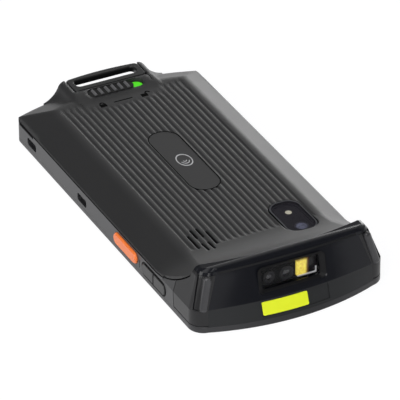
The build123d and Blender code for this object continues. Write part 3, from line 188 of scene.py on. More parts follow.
@dataclass(frozen=True)
class Finish:
    """A moulded, painted, printed or polished surface.

    Attributes:
        name: What the real surface is.
        colour: sRGB hex of the body colour.
        roughness: Middle of the roughness range.
        ior: Index of refraction.
        specular: Strength of the plain reflection, where 0.5 is what the index gives.
        metallic: 1 for bare metal.
        coat: Clear polish on top.
        cloud_mm: Size of the patches over which colour and polish wander.
        variation: Share by which they wander.
        grain_mm: Size of the moulded grain.
        grain_height_mm: Depth of that grain.
        edge_mm: Radius that softens the mould's edges.
        alpha: Opacity, below 1 for a clear pane.
        glow: Painted light that the surface gives off though it is no lamp, as a share of its colour.
        zone: Part of the surface that differs in colour and polish, if any.
        fillet: Part of the surface whose edges are rounder, if any.
    """

    name: str
    colour: str
    roughness: float
    ior: float = 1.5
    specular: float = 0.5
    metallic: float = 0.0
    coat: Coat = Coat.NONE
    cloud_mm: float = 30.0
    variation: float = 0.06
    grain_mm: float = 0.4
    grain_height_mm: float = 0.0
    edge_mm: float = 0.0
    alpha: float = 1.0
    glow: float = 0.0
    zone: Zone | None = None
    fillet: Fillet | None = None

    @functools.cache
    def material(self) -> bpy.types.Material:
        """Build the finish as a node material, once, and give the same one each time.

        Returns:
            The material.
        """
        made = bpy.data.materials.new(self.name)
        made.use_nodes = True
        made.diffuse_color = srgb(self.colour)
        tree = made.node_tree
        tree.nodes.clear()
        place = add_node(tree, "ShaderNodeTexCoord")
        shader = add_node(tree, "ShaderNodeBsdfPrincipled", Metallic=self.metallic, IOR=self.ior,
                          Specular_IOR_Level=self.specular, Coat_Weight=self.coat.value,
                          Coat_Roughness=COAT_ROUGHNESS, Alpha=self.alpha, Emission_Strength=self.glow)
        self._paint(tree, place, shader)
        self._relief(tree, place, shader)
        add_node(tree, "ShaderNodeOutputMaterial", {"Surface": shader.outputs["BSDF"]})
        return made

    def _paint(self, tree: bpy.types.NodeTree, place: bpy.types.Node, shader: bpy.types.Node) -> None:
        """Let colour and roughness wander, and change in the zone.

        Args:
            tree: The material's node tree.
            place: Its texture coordinates.
            shader: The shader that takes them.
        """
        cloud = add_node(tree, "ShaderNodeTexNoise", {"Vector": place.outputs["Object"]},
                         Scale=1 / (self.cloud_mm * MM), Detail=3.0).outputs["Fac"]
        colour = self._wandering_colour(tree, cloud, self.colour)
        rough = add_node(tree, "ShaderNodeMapRange", {"Value": cloud},
                         To_Min=self.roughness * (1 - POLISH_SWING),
                         To_Max=self.roughness * (1 + POLISH_SWING)).outputs["Result"]
        if self.zone:
            mask = self.zone.region.mask(tree, place)
            other = self._wandering_colour(tree, cloud, self.zone.colour)
            colour = add_node(tree, "ShaderNodeMix", {MIX_FACTOR: mask, MIX_A: colour, MIX_B: other},
                              data_type="RGBA").outputs[MIX_RESULT]
            rough = add_node(tree, "ShaderNodeMapRange", {"Value": mask, "To Min": rough},
                             To_Max=self.zone.roughness).outputs["Result"]
        tree.links.new(colour, shader.inputs["Base Color"])
        tree.links.new(rough, shader.inputs["Roughness"])
        # Painted light: a surface with glow gives off its own colour as light.
        if self.glow:
            tree.links.new(colour, shader.inputs["Emission Color"])

    def _wandering_colour(self, tree: bpy.types.NodeTree, cloud: bpy.types.NodeSocket,
                          code: str) -> bpy.types.NodeSocket:
        """Build a colour that wanders a little either way.

        Args:
            tree: The material's node tree.
            cloud: Noise between 0 and 1.
            code: sRGB hex of the colour.

        Returns:
            The socket that holds it.
        """
        ramp = add_node(tree, "ShaderNodeValToRGB", {"Fac": cloud})
        base = srgb(code)
        factors = (1 - self.variation, 1 + self.variation)
        for stop, place, factor in zip(ramp.color_ramp.elements, CLOUD_STOPS, factors):
            stop.position = place
            stop.color = (*(min(1.0, c * factor) for c in base[:3]), 1.0)
        return ramp.outputs["Color"]

    def _relief(self, tree: bpy.types.NodeTree, place: bpy.types.Node, shader: bpy.types.Node) -> None:
        """Round the edges and raise the grain.

        Args:
            tree: The material's node tree.
            place: Its texture coordinates.
            shader: The shader that takes the normal.
        """
        normal = None
        if self.edge_mm:
            bevel = add_node(tree, "ShaderNodeBevel", samples=4, Radius=self.edge_mm * MM)
            normal = bevel.outputs["Normal"]
            if self.fillet:
                share = self.fillet.region.mask(tree, place)
                radius = add_node(tree, "ShaderNodeMapRange", {"Value": share},
                                  To_Min=self.edge_mm * MM, To_Max=self.fillet.radius_mm * MM)
                tree.links.new(radius.outputs["Result"], bevel.inputs["Radius"])
        if self.grain_height_mm:
            grain = add_node(tree, "ShaderNodeTexNoise", {"Vector": place.outputs["Object"]},
                             Scale=1 / (self.grain_mm * MM), Detail=2.0)
            links = {"Height": grain.outputs["Fac"]}
            if normal:
                links["Normal"] = normal
            normal = add_node(tree, "ShaderNodeBump", links, Distance=self.grain_height_mm * MM,
                              Strength=1.0).outputs["Normal"]
        if normal:
            tree.links.new(normal, shader.inputs["Normal"])


# Painted shade: black in the latch's well, where its recess lies in shadow.
LATCH_WELL_SHADE = Region((-12.0, 65.1, None), (12.0, 71.1, 15.5), 0.1)
NECK = Region((None, 56.0, None), blend_mm=3.0)
CHIN = Region(high=(None, None, CREASE_Z), blend_mm=0.5)
# Painted shade: black in the gaps between the slide's ribs.
SLIDE_GAP_SHADE = Region(high=(None, None, 16.16), blend_mm=0.08)
# The phosphor's unshaded part; outside it, to the right and above, it is painted brown as painted shade.
PHOSPHOR_UNSHADED = Region(high=(7.7, None, 17.6), blend_mm=1.1)

# Spark-eroded ABS of the cover: a dark grey that scatters light evenly, painted black in the latch's well as
# painted shade, with a large fillet where the neck flows into the shoulders. Its grain is about 0.1 mm,
# drawn at 0.5 mm to show.
COVER_ABS = Finish("spark_eroded_abs", "#1e1e1f", 0.42, grain_mm=0.5, grain_height_mm=0.012, edge_mm=0.7,
                   zone=Zone("#080808", 0.7, LATCH_WELL_SHADE), fillet=Fillet(2.4, NECK))
# The same ABS without grain on the frame, a little smoother to the eye.
FRAME_ABS = Finish("smooth_moulded_abs", "#262628", 0.36, edge_mm=0.4, variation=0.04)
# Polycarbonate inlay: satin, and flatter than the ribs round it; its grain is drawn coarse too.
INLAY_PC = Finish("satin_polycarbonate", "#1d1d1e", 0.4, grain_mm=0.4, grain_height_mm=0.006, edge_mm=0.1)
# Polished ABS of the head's face: black and mirror-like, with a satin chin below the crease.
HEAD_ABS = Finish("polished_black_abs", "#121318", 0.16, specular=0.22, variation=0.03,
                  zone=Zone("#262728", 0.36, CHIN))
# Satin anodised aluminium of the camera's trim, which shows as a fine grey line.
TRIM_ALUMINIUM = Finish("satin_grey_aluminium", "#5c5d61", 0.3, metallic=1.0, variation=0.05)
# Thermoplastic rubber of the corners and the rim's bead: black with a broad sheen.
BUMPER_TPU = Finish("overmoulded_tpu", "#131315", 0.36, specular=0.4, cloud_mm=6.0, variation=0.05)
# The same rubber on the bumpers' ribs, painted lighter grey as a painted highlight that makes them stand
# out.
RIB_TPU = Finish("highlight_grey_tpu", "#333335", 0.34, cloud_mm=4.0, variation=0.1)
# Acetal of the strap bar and the bolt: black and waxy.
BLACK_ACETAL = Finish("black_acetal", "#101112", 0.34, ior=1.48, edge_mm=0.25, variation=0.04)
# Nylon of the keys: black with a satin skin.
SATIN_NYLON = Finish("satin_black_nylon", "#151516", 0.4, ior=1.53, grain_height_mm=0.006, edge_mm=0.2)
# The same nylon on the slide, painted light grey on the ribs' tops as a painted highlight, with painted
# black shade in the gaps.
SLIDE_NYLON = Finish("ribbed_black_nylon", "#58585a", 0.36, ior=1.53, zone=Zone("#030303", 0.8, SLIDE_GAP_SHADE))
# Orange polycarbonate of the scan keys, coloured through.
ORANGE_PC = Finish("orange_polycarbonate", "#f37a30", 0.36, ior=1.58, edge_mm=0.4, variation=0.03)
# Green acrylic of the flag, with painted light: it glows so that it stays bright in its shaded slot. bright,
# as if lit from within.
GREEN_ACRYLIC = Finish("green_acrylic", "#5cee2c", 0.3, ior=1.49, variation=0.03, glow=0.25)
# Vinyl sticker, blank and yellow.
YELLOW_VINYL = Finish("yellow_vinyl", "#e8f41a", 0.45, variation=0.02, grain_mm=0.3, grain_height_mm=0.004)
# Amber phosphor of the light source: gold, with painted shade that turns its right and upper walls brown,
# and painted light that makes it glow.
AMBER_PHOSPHOR = Finish("amber_phosphor", "#4a2a0c", 0.35, coat=Coat.THIN, cloud_mm=0.8, variation=0.25,
                        glow=0.75, zone=Zone("#ffda5c", 0.3, PHOSPHOR_UNSHADED))
# Smoked prism beside it, almost black.
SMOKED_PRISM = Finish("smoked_prism", "#0a070c", 0.12, specular=0.3, variation=0.1)
# Bright tin of the light source's tray, which glows with painted light that stands in for the phosphor's
# reflection.
BRIGHT_TIN = Finish("bright_tin", "#e8e8ec", 0.3, metallic=0.6, cloud_mm=1.0, variation=0.2, glow=0.35)
# Coated optical glass: dark grey with a faint violet cast, and a faint glow of painted light.
COATED_LENS = Finish("coated_lens_glass", "#1b1920", 0.12, ior=1.6, coat=Coat.FULL, cloud_mm=1.0,
                     variation=0.2, glow=0.06)
# Black anodised aluminium of the lens barrels: it swallows most light.
BLACK_BARREL = Finish("black_anodised_barrel", "#2b2b2e", 0.4, metallic=0.3, variation=0.1, edge_mm=0.1)
# Black rubber collar round the scan window, dull and soft.
COLLAR_RUBBER = Finish("black_collar_rubber", "#0b0b0d", 0.55, specular=0.2, edge_mm=0.2)
# Moulded nylon of the scan engine, duller than the pane before it.
ENGINE_NYLON = Finish("engine_black_nylon", "#0e0e10", 0.6, specular=0.15)
# Display glass: a black mirror while the panel under it is off.
DISPLAY_GLASS = Finish("black_display_glass", "#0b0c10", 0.06, ior=1.52, coat=Coat.THIN, variation=0.04)
# Tinted cover glass of the camera, dark with a purple cast.
CAMERA_GLASS = Finish("tinted_camera_glass", "#15121f", 0.1, ior=1.52, specular=0.35, alpha=0.4)
# Tinted scan window, through which the optics show.
SCAN_GLASS = Finish("tinted_scan_window", "#08080a", 0.06, ior=1.49, specular=0.4, alpha=0.15)
# Black ink on the back of that glass, with a violet cast.
BLACK_INK = Finish("black_glass_ink", "#15131c", 0.6, specular=0.2, cloud_mm=3.0)
# Anodised ring of the camera's lens.
VIOLET_RING = Finish("violet_anodised_ring", "#34324a", 0.4, cloud_mm=2.0)
# Blue-grey coated front lens of the camera, pale, and glowing with painted light.
CAMERA_LENS = Finish("blue_coated_lens", "#878cab", 0.16, ior=1.7, coat=Coat.FULL, cloud_mm=1.2,
                     variation=0.4, glow=0.35)
# Pale silicone of the flash, which glows with painted light.
FLASH_SILICONE = Finish("flash_silicone", "#fff6dc", 0.3, coat=Coat.FULL, cloud_mm=0.8, variation=0.12,
                        glow=1.0)
# Stamped stainless steel.
STAINLESS = Finish("stamped_stainless", "#9a9a9c", 0.35, metallic=1.0)
# Gilt brass contacts.
GILT_BRASS = Finish("gilt_brass", "#c8a04c", 0.25, metallic=1.0)
# Copper foil of the antenna.
COPPER_FOIL = Finish("copper_foil", "#b8683c", 0.35, metallic=1.0)
# Green solder mask over a laminate.
SOLDER_MASK = Finish("green_solder_mask", "#12401f", 0.3, coat=Coat.THIN)
# Shrink film of the battery.
BATTERY_FILM = Finish("black_battery_film", "#1a1b1e", 0.35, variation=0.1)
# Black nylon of the inner parts.
BLACK_NYLON = Finish("black_nylon", "#101012", 0.5)
# Dead black of the volume keys' surround and the seam's and inlay's strips: painted shade, a fine dark line
# where the gaps lie in shadow.
GAP_SHADE_BLACK = Finish("painted_gap_shade", "#060606", 0.8, specular=0.1)
# Silicone rubber of the seal.
SEAL_SILICONE = Finish("black_silicone", "#0e0e0f", 0.6)
# Pale grey pad print.
PALE_PRINT = Finish("pale_pad_print", "#b4b5b7", 0.5, cloud_mm=2.0, variation=0.15)
# Black pad print of the lock marks.
BLACK_PRINT = Finish("black_pad_print", "#050505", 0.8, specular=0.05, cloud_mm=2.0)

NODE_FINISH: dict[str, Finish] = {node: finish for finish, nodes in (
    (COVER_ABS, "rear_cover"), (INLAY_PC, "label_inlay"), (FRAME_ABS, "mid_frame front_bezel"),
    (HEAD_ABS, "scanner_cap"), (BUMPER_TPU, "bumper_left bumper_right"), (YELLOW_VINYL, "label_plate"),
    (SLIDE_NYLON, "latch_slider"), (BLACK_ACETAL, "latch_bolt strap_bar"),
    (ORANGE_PC, "scan_key_left scan_key_right"), (SATIN_NYLON, "volume_up_key volume_down_key power_key"),
    (SCAN_GLASS, "scan_window"), (ENGINE_NYLON, "scan_engine"), (COATED_LENS, "imager_lens aimer_lens"),
    (AMBER_PHOSPHOR, "illuminator"), (SMOKED_PRISM, "illuminator_lens"), (TRIM_ALUMINIUM, "camera_trim"),
    (CAMERA_GLASS, "camera_glass"), (FLASH_SILICONE, "flash_led"), (DISPLAY_GLASS, "touch_glass"),
    (SEAL_SILICONE, "bay_seal"), (COPPER_FOIL, "nfc_antenna"), (SOLDER_MASK, "main_board"),
    (BATTERY_FILM, "battery_pack"), (GILT_BRASS, "battery_contacts"), (GREEN_ACRYLIC, "latch_indicator"),
    (STAINLESS, "latch_spring engine_bracket shield_cans vibration_motor usb_port frame_screws"),
    (BLACK_NYLON, "display_panel side_key_flex_left side_key_flex_right antenna_carrier camera_module "
                  "speaker_module earpiece front_camera"),
) for node in nodes.split()}


def dress(nodes: dict[str, bpy.types.Object]) -> None:
    """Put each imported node's finish in its material slots.

    Args:
        nodes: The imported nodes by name.
    """
    for name, piece in nodes.items():
        piece.data.materials.clear()
        piece.data.materials.append(NODE_FINISH[name].material())
    LOG.info("dressed %d packed nodes", len(nodes))


# ------------------------ shapes
def in_mm(corners: tuple[Vector, Vector]) -> tuple[Vector, Vector]:
    """Turn a box's two corners from metres into millimetres."""
    return corners[0] / MM, corners[1] / MM


def dome_profile(radius: float, rise: float) -> list[Pair]:
    """Outline of a shallow lens: flat behind, domed in front.

    Args:
        radius: Radius of its rim.
        rise: Height of the dome.

    Returns:
        Radius and height pairs from the back's centre to the pole.
    """
    angles = [math.pi / 2 * i / DOME_STEPS for i in range(DOME_STEPS)]
    return [(0.0, 0.0), *((radius * math.cos(a), rise * math.sin(a)) for a in angles), (0.0, rise)]


class Shape:
    """A closed mesh under construction, in millimetres in the terminal's frame."""

    def __init__(self) -> None:
        """Start with no geometry."""
        self.mesh = bmesh.new()

    def bar(self, low: Point, high: Point, soften: float = 0.0) -> None:
        """Add a box between two corners.

        Args:
            low: Lowest corner.
            high: Highest corner.
            soften: Radius of its edges.
        """
        made = bmesh.ops.create_cube(self.mesh, size=1.0)["verts"]
        bmesh.ops.scale(self.mesh, vec=Vector(high) - Vector(low), verts=made)
        bmesh.ops.translate(self.mesh, vec=(Vector(low) + Vector(high)) / 2, verts=made)
        if soften:
            edges = [edge for edge in self.mesh.edges if edge.verts[0] in made]
            bmesh.ops.bevel(self.mesh, geom=edges, offset=soften, segments=2, profile=0.5, affect="EDGES",
                            material=-1)

    def lathe(self, profile: list[Pair], place: Matrix, stretch: float = 1.0, start: float = 0.0,
              turn: float = 360.0, steps: int = 48) -> None:
        """Turn a profile about its axis, all the way or along an arc.

        Args:
            profile: Radius and height pairs; a whole turn may start and end on the axis.
            place: Where the axis goes; it is +Z before that.
            stretch: Scale across, for an oval.
            start: Angle at which it starts, in degrees.
            turn: How far it runs, in degrees.
            steps: Steps of the turn.
        """
        known = set(self.mesh.verts)
        verts = [self.mesh.verts.new((radius, 0, height)) for radius, height in profile]
        whole = turn >= 360
        if whole:
            on_axis = profile[0][0] == 0 and profile[-1][0] == 0
            pairs = list(zip(verts, verts[1:])) + ([] if on_axis else [(verts[-1], verts[0])])
            geometry = verts + [self.mesh.edges.new(pair) for pair in pairs]
        else:
            geometry = [self.mesh.faces.new(verts)]
        bmesh.ops.rotate(self.mesh, verts=verts, cent=(0, 0, 0),
                         matrix=Matrix.Rotation(math.radians(start), 3, "Z"))
        bmesh.ops.spin(self.mesh, geom=geometry, cent=(0, 0, 0), axis=(0, 0, 1), angle=math.radians(turn),
                       steps=steps, use_merge=whole, use_duplicate=False)
        added = [vert for vert in self.mesh.verts if vert not in known]
        bmesh.ops.scale(self.mesh, vec=(1, stretch, 1), verts=added)
        bmesh.ops.transform(self.mesh, matrix=place, verts=added)
        bmesh.ops.remove_doubles(self.mesh, verts=added, dist=1e-4)

    def _carry(self, known: set[bmesh.types.BMVert], place: Matrix) -> None:
        """Move the vertices that weren't known before to their place."""
        added = [vert for vert in self.mesh.verts if vert not in known]
        bmesh.ops.transform(self.mesh, matrix=place, verts=added)

    def outline(self, width: float, height: float, corner: float, lift: float) -> bmesh.types.BMFace:
        """Add a flat face with rounded corners.

        Args:
            width: Its size along X.
            height: Its size along Y.
            corner: Radius of its corners.
            lift: Its place along Z.

        Returns:
            The face.
        """
        seen = set(self.mesh.faces)
        square = bmesh.ops.create_grid(self.mesh, x_segments=1, y_segments=1, size=0.5)["verts"]
        bmesh.ops.scale(self.mesh, vec=(width, height, 1), verts=square)
        bmesh.ops.translate(self.mesh, vec=(0, 0, lift), verts=square)
        bmesh.ops.bevel(self.mesh, geom=square, offset=corner, segments=6, profile=0.5, affect="VERTICES",
                        material=-1)
        return next(face for face in self.mesh.faces if face not in seen)

    def sleeve(self, loops: list[Loop], place: Matrix) -> None:
        """Bridge rounded outlines, each to the next and the last to the first.

        Args:
            loops: Width, height, corner radius and lift of each outline.
            place: Where their middle goes; they lie across +Z before that.
        """
        known = set(self.mesh.verts)
        rings = []
        for loop in loops:
            face = self.outline(*loop)
            rings.append(list(face.edges))
            bmesh.ops.delete(self.mesh, geom=[face], context="FACES_ONLY")
        for ring, following in zip(rings, rings[1:] + rings[:1]):
            bmesh.ops.bridge_loops(self.mesh, edges=ring + following)
        self._carry(known, place)

    def rim(self, loop: Loop, gap: float, high: float, place: Matrix) -> None:
        """Add a closed rim of even width round a rounded opening.

        Args:
            loop: Width, height, corner radius and foot of the opening.
            gap: Width of the rim.
            high: Its top.
            place: Where its middle goes; it lies across +Z before that.
        """
        known = set(self.mesh.verts)
        width, height, corner, low = loop
        face = self.outline(width + 2 * gap, height + 2 * gap, corner + gap, low)
        band = bmesh.ops.inset_region(self.mesh, faces=[face], thickness=gap, use_boundary=True,
                                      use_even_offset=True)["faces"]
        bmesh.ops.delete(self.mesh, geom=[face], context="FACES")
        raised = bmesh.ops.extrude_face_region(self.mesh, geom=band, use_keep_orig=True)["geom"]
        bmesh.ops.translate(self.mesh, vec=(0, 0, high - low),
                            verts=[item for item in raised if isinstance(item, bmesh.types.BMVert)])
        self._carry(known, place)

    def _put_in_order(self) -> None:
        """Sort vertices and faces by place, because some operators leave them in another order each run."""
        for elements, place in ((self.mesh.verts, lambda vert: vert.co[:]),
                                (self.mesh.faces, lambda face: face.calc_center_median()[:])):
            for index, element in enumerate(sorted(elements, key=place)):
                element.index = index
            elements.sort()

    def settle(self, name: str, finish: Finish, body: str) -> None:
        """Turn the mesh into a piece that rides on a body; the mesh is freed.

        Args:
            name: The piece's name.
            finish: Its finish.
            body: The moving body that carries it.
        """
        bmesh.ops.scale(self.mesh, vec=(MM, MM, MM), verts=self.mesh.verts)
        bmesh.ops.recalc_face_normals(self.mesh, faces=self.mesh.faces)
        self._put_in_order()
        data = bpy.data.meshes.new(name)
        self.mesh.to_mesh(data)
        self.mesh.free()
        data.materials.append(finish.material())
        piece = bpy.data.objects.new(name, data)
        bpy.context.scene.collection.objects.link(piece)
        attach(piece, body)
        LOG.info("piece %s on %s", name, body)


# ------------------------ pieces
@dataclass
class CoverMarks:
    """Generic prints on the rear cover: the inlay's ring and the lock marks.

    Attributes:
        ring_centre: Middle of the ring, X and Y.
        ring_radius: Its outer radius across the terminal.
        ring_stretch: Its length over its width.
        ring_width: Width of its line.
        arc_shares: Size of each inner arc as a share of the ring.
        arc_start: Where an inner arc starts, in degrees.
        arc_turn: How far it runs, in degrees.
        arc_width: Width of its line over the ring's.
        print_height: Height of a print.
        inlay_top: Face of the inlay.
        mark_y: Middle of the lock marks along the terminal.
        shut_x: Middle of the shut lock.
        open_x: Middle of the open lock.
        line_x: Ends of the line between them.
        stroke: Width of a stroke.
        lock_half: Half the width of a lock's body, by which its other sizes are measured.
        lock_drop: How far its body reaches down.
        shackle: Outer radius of its shackle.
        shackle_stretch: Height of the shackle over that radius.
        open_shift: How far the open lock's shackle stands aside.
    """

    ring_centre: Pair = (0.2, 9.9)
    ring_radius: float = 3.05
    ring_stretch: float = 1.44
    ring_width: float = 0.42
    arc_shares: tuple[float, ...] = (0.62, 0.3)
    arc_start: float = 200.0
    arc_turn: float = 140.0
    arc_width: float = 0.8
    print_height: float = 0.03
    inlay_top: float = 15.65
    mark_y: float = 59.3
    shut_x: float = -9.6
    open_x: float = 7.9
    line_x: Pair = (-4.9, 2.9)
    stroke: float = 0.55
    lock_half: float = 1.35
    lock_drop: float = 1.1
    shackle: float = 0.85
    shackle_stretch: float = 1.2
    open_shift: float = 1.3

    def build(self) -> None:
        """Make the prints."""
        self._ring()
        self._locks()

    def _band(self, outer: float, width: float, low: float) -> list[Pair]:
        """Section of a printed band."""
        high = low + self.print_height
        return [(outer - width, low), (outer, low), (outer, high), (outer - width, high)]

    def _ring(self) -> None:
        """Make the plain oval ring with its two inner arcs."""
        shape = Shape()
        place = Matrix.Translation((*self.ring_centre, 0))
        shape.lathe(self._band(self.ring_radius, self.ring_width, self.inlay_top), place, self.ring_stretch)
        for share in self.arc_shares:
            band = self._band(self.ring_radius * share, self.ring_width * self.arc_width, self.inlay_top)
            shape.lathe(band, place, self.ring_stretch, start=self.arc_start, turn=self.arc_turn, steps=24)
        shape.settle("inlay_ring_print", PALE_PRINT, "cover")

    def _locks(self) -> None:
        """Make the shut lock, the line and the open lock."""
        shape = Shape()
        low, high = COVER_TOP, COVER_TOP + self.print_height
        half, size = self.stroke / 2, self.lock_half
        shape.bar((self.line_x[0], self.mark_y - half, low), (self.line_x[1], self.mark_y + half, high))
        for x, shift in ((self.shut_x, 0.0), (self.open_x, size * self.open_shift)):
            top = self.mark_y + self.stroke
            shape.bar((x - size, self.mark_y - size * self.lock_drop, low), (x + size, top, high))
            shape.lathe(self._band(size * self.shackle, self.stroke, low),
                        Matrix.Translation((x + shift, top, 0)), self.shackle_stretch, turn=180.0, steps=16)
        shape.settle("lock_marks", BLACK_PRINT, "cover")


@dataclass
class ScanOptics:
    """Lens barrels and light-source tray behind the scan window.

    Attributes:
        front_y: Front face of the engine's lenses.
        clear: Gap between that face and what stands before it.
        barrel_proud: How far a barrel stands before that face.
        barrel_wall: Thickness of a barrel's wall.
        mouth: Radius of a barrel's mouth over its lens's.
        ledge: Outer radius of the ledge round the mouth over the lens's.
        slope: Radius at the middle of the slope above it over the lens's.
        ledge_lift: Height of the ledge.
        slope_lift: Height at the middle of the slope over the barrel's.
        lens_rise: Height of the front lens over the radius of the engine's.
        tray_low: Lower left corner of the light source's tray, X and Z.
        tray_high: Upper right corner of the tray's short leg, X and Z.
        tray_t: Thickness of the tray's legs.
        tray_depth: How far the tray stands before the lenses' face.
        tray_edge: Radius of its edges.
    """

    front_y: float = -72.6
    clear: float = 0.02
    barrel_proud: float = 0.25
    barrel_wall: float = 0.55
    mouth: float = 0.62
    ledge: float = 0.82
    slope: float = 0.88
    ledge_lift: float = 0.08
    slope_lift: float = 0.6
    lens_rise: float = 0.12
    tray_low: Pair = (3.9, 10.9)
    tray_high: Pair = (11.7, 13.5)
    tray_t: float = 0.55
    tray_depth: float = 0.35
    tray_edge: float = 0.08

    def build(self) -> None:
        """Make the barrels, the front lenses and the tray."""
        for name in ("imager", "aimer"):
            low, high = in_mm(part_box(f"{name}_lens"))
            centre, radius = (low + high) / 2, (high.x - low.x) / 2
            place = Matrix.Translation((centre.x, self.front_y, centre.z)) @ FACING_FRONT
            self._barrel(name, radius, place)
        self._tray()

    def _barrel(self, name: str, radius: float, place: Matrix) -> None:
        """Make one stepped barrel and the lens at its mouth.

        Args:
            name: Which lens it is.
            radius: Radius of the engine's lens.
            place: Middle of its front face, looking out.
        """
        barrel = Shape()
        mouth, rim = radius * self.mouth, radius + self.barrel_wall
        barrel.lathe([(mouth, self.clear), (mouth, self.ledge_lift), (radius * self.ledge, self.ledge_lift),
                      (radius * self.slope, self.barrel_proud * self.slope_lift),
                      (radius, self.barrel_proud), (rim, self.barrel_proud), (rim, self.clear)], place)
        barrel.settle(f"{name}_barrel", BLACK_BARREL, "terminal")
        lens = Shape()
        lens.lathe(dome_profile(mouth, radius * self.lens_rise),
                   place @ Matrix.Translation((0, 0, self.clear / 2)))
        lens.settle(f"{name}_front_lens", COATED_LENS, "terminal")

    def _tray(self) -> None:
        """Make the bright L-shaped tray under and beside the light source."""
        shape = Shape()
        front, back = self.front_y - self.tray_depth, self.front_y - self.clear
        (x0, z0), (x1, z1) = self.tray_low, self.tray_high
        shape.bar((x0, front, z0), (x1 - self.tray_t, back, z0 + self.tray_t), soften=self.tray_edge)
        shape.bar((x1 - self.tray_t, front, z0), (x1, back, z1), soften=self.tray_edge)
        # The tray's brightness is painted light from its finish's glow.
        shape.settle("illuminator_tray", BRIGHT_TIN, "terminal")


@dataclass
class WindowCollar:
    """Rubber collar that lines the steep inner wall of the scan recess.

    Attributes:
        centre: Middle of the window's plane.
        tilt: How far it leans back, in degrees.
        foot: Width, height and corner radius at the pane.
        mouth: The same at the collar's outer edge.
        depth: Height from foot to mouth.
        skin: Thickness of the collar.
    """

    centre: Point = (0.0, -74.75, 15.4)
    tilt: float = 12.6
    foot: tuple[float, float, float] = (23.6, 8.0, 1.1)
    mouth: tuple[float, float, float] = (27.4, 10.4, 2.2)
    depth: float = 1.1
    skin: float = 0.15

    def build(self) -> None:
        """Make the collar."""
        place = (Matrix.Translation(self.centre) @ Matrix.Rotation(math.radians(-self.tilt), 4, "X")
                 @ FACING_FRONT)
        shape = Shape()
        shape.sleeve([(*self.foot, 0), (*self.mouth, self.depth), (*self.mouth, self.depth + self.skin),
                      (*self.foot, self.skin)], place)
        shape.settle("window_collar", COLLAR_RUBBER, "terminal")


@dataclass
class KeyGapShade:
    """Dark strip round the pair of volume keys: painted shade in the gap round them.

    Attributes:
        gap: Width of the strip.
        proud: How far it stands off the wall.
        sunk: How far it goes in.
        corner: Radius of its corners.
    """

    gap: float = 0.42
    proud: float = 0.04
    sunk: float = 0.3
    corner: float = 2.3

    def build(self) -> None:
        """Make the strip of painted shade, from the two keys' places."""
        foot, far = in_mm(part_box("volume_up_key"))
        near = in_mm(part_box("volume_down_key"))[0]
        wall = in_mm(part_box("mid_frame"))[0].x
        length, height = far.y - near.y, far.z - foot.z
        middle = Vector((wall, (far.y + near.y) / 2, (far.z + foot.z) / 2))
        outward = Matrix(((0, 0, -1), (-1, 0, 0), (0, 1, 0))).to_4x4()
        shape = Shape()
        shape.rim((length, height, self.corner, -self.sunk), self.gap, self.proud,
                  Matrix.Translation(middle) @ outward)
        shape.settle("volume_key_gap_shade", GAP_SHADE_BLACK, "terminal")


@dataclass
class SeamShades:
    """Thin black strips of painted shade in the seam under the cover's sides and in the groove round the
    inlay.

    Attributes:
        near: Near end of the side strips, where the seam starts to rise.
        far: Their far ends, left and right; the left one stops at the thumbnail gap.
        inset: Distance of their outer face from the side wall; below 0 they stand proud.
        reach: How far they go in.
        thick: Their height.
        edge: Radius of their edges over that height.
        ring_gap: Width of the inlay's ring.
        ring_corner: Its inner corner radius.
        ring_low: Its foot.
        ring_high: Its top.
    """

    near: float = -43.5
    far: Pair = (59.6, 70.0)
    inset: float = -0.03
    reach: float = 1.3
    thick: float = 0.28
    edge: float = 0.2
    ring_gap: float = 0.35
    ring_corner: float = 5.85
    ring_low: float = 15.3
    ring_high: float = 15.72

    def build(self) -> None:
        """Make the strips of painted shade."""
        wall = in_mm(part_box("mid_frame"))[1].x
        outer, inner = wall - self.inset, wall - self.reach
        for name, side, far in (("left", -1, self.far[0]), ("right", 1, self.far[1])):
            shape = Shape()
            across = sorted((side * outer, side * inner))
            shape.bar((across[0], self.near, CREASE_Z), (across[1], far, CREASE_Z + self.thick),
                      soften=self.thick * self.edge)
            shape.settle(f"seam_shade_strip_{name}", GAP_SHADE_BLACK, "terminal")
        low, high = in_mm(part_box("label_inlay"))
        shape = Shape()
        shape.rim((high.x - low.x, high.y - low.y, self.ring_corner, self.ring_low), self.ring_gap,
                  self.ring_high, Matrix.Translation(((low.x + high.x) / 2, (low.y + high.y) / 2, 0)))
        shape.settle("inlay_groove_shade", GAP_SHADE_BLACK, "cover")


@dataclass
class BumperRibs:
    """Upright ribs that stand proud on the corner bumpers, mirrored left and right.

    Attributes:
        foot: Lower end of the right rib's axis.
        head: Its upper end.
        across: Direction of its width, along the bumper's face.
        width: Width of a rib.
        depth: Its thickness, half of it sunk.
        edge: Radius of its edges over that thickness.
    """

    foot: Point = (35.5, -74.9, 8.8)
    head: Point = (32.1, -72.5, 21.4)
    across: Point = (0.943, 0.332, 0.0)
    width: float = 2.9
    depth: float = 2.5
    edge: float = 0.4

    def build(self) -> None:
        """Make both ribs."""
        for name, side in (("left", -1), ("right", 1)):
            foot, head, across = (Vector((side * x, y, z))
                                  for x, y, z in (self.foot, self.head, self.across))
            axis = (head - foot).normalized()
            outward = axis.cross(across).normalized()
            turn = Matrix((outward.cross(axis), outward, axis)).transposed().to_4x4()
            shape = Shape()
            half = Vector((self.width, self.depth, (head - foot).length)) / 2
            shape.bar(tuple(-half), tuple(half), soften=self.depth * self.edge)
            bmesh.ops.transform(shape.mesh, matrix=Matrix.Translation((foot + head) / 2) @ turn,
                                verts=shape.mesh.verts)
            # The ribs' lighter grey is a painted highlight.
            shape.settle(f"bumper_rib_{name}", RIB_TPU, "terminal")


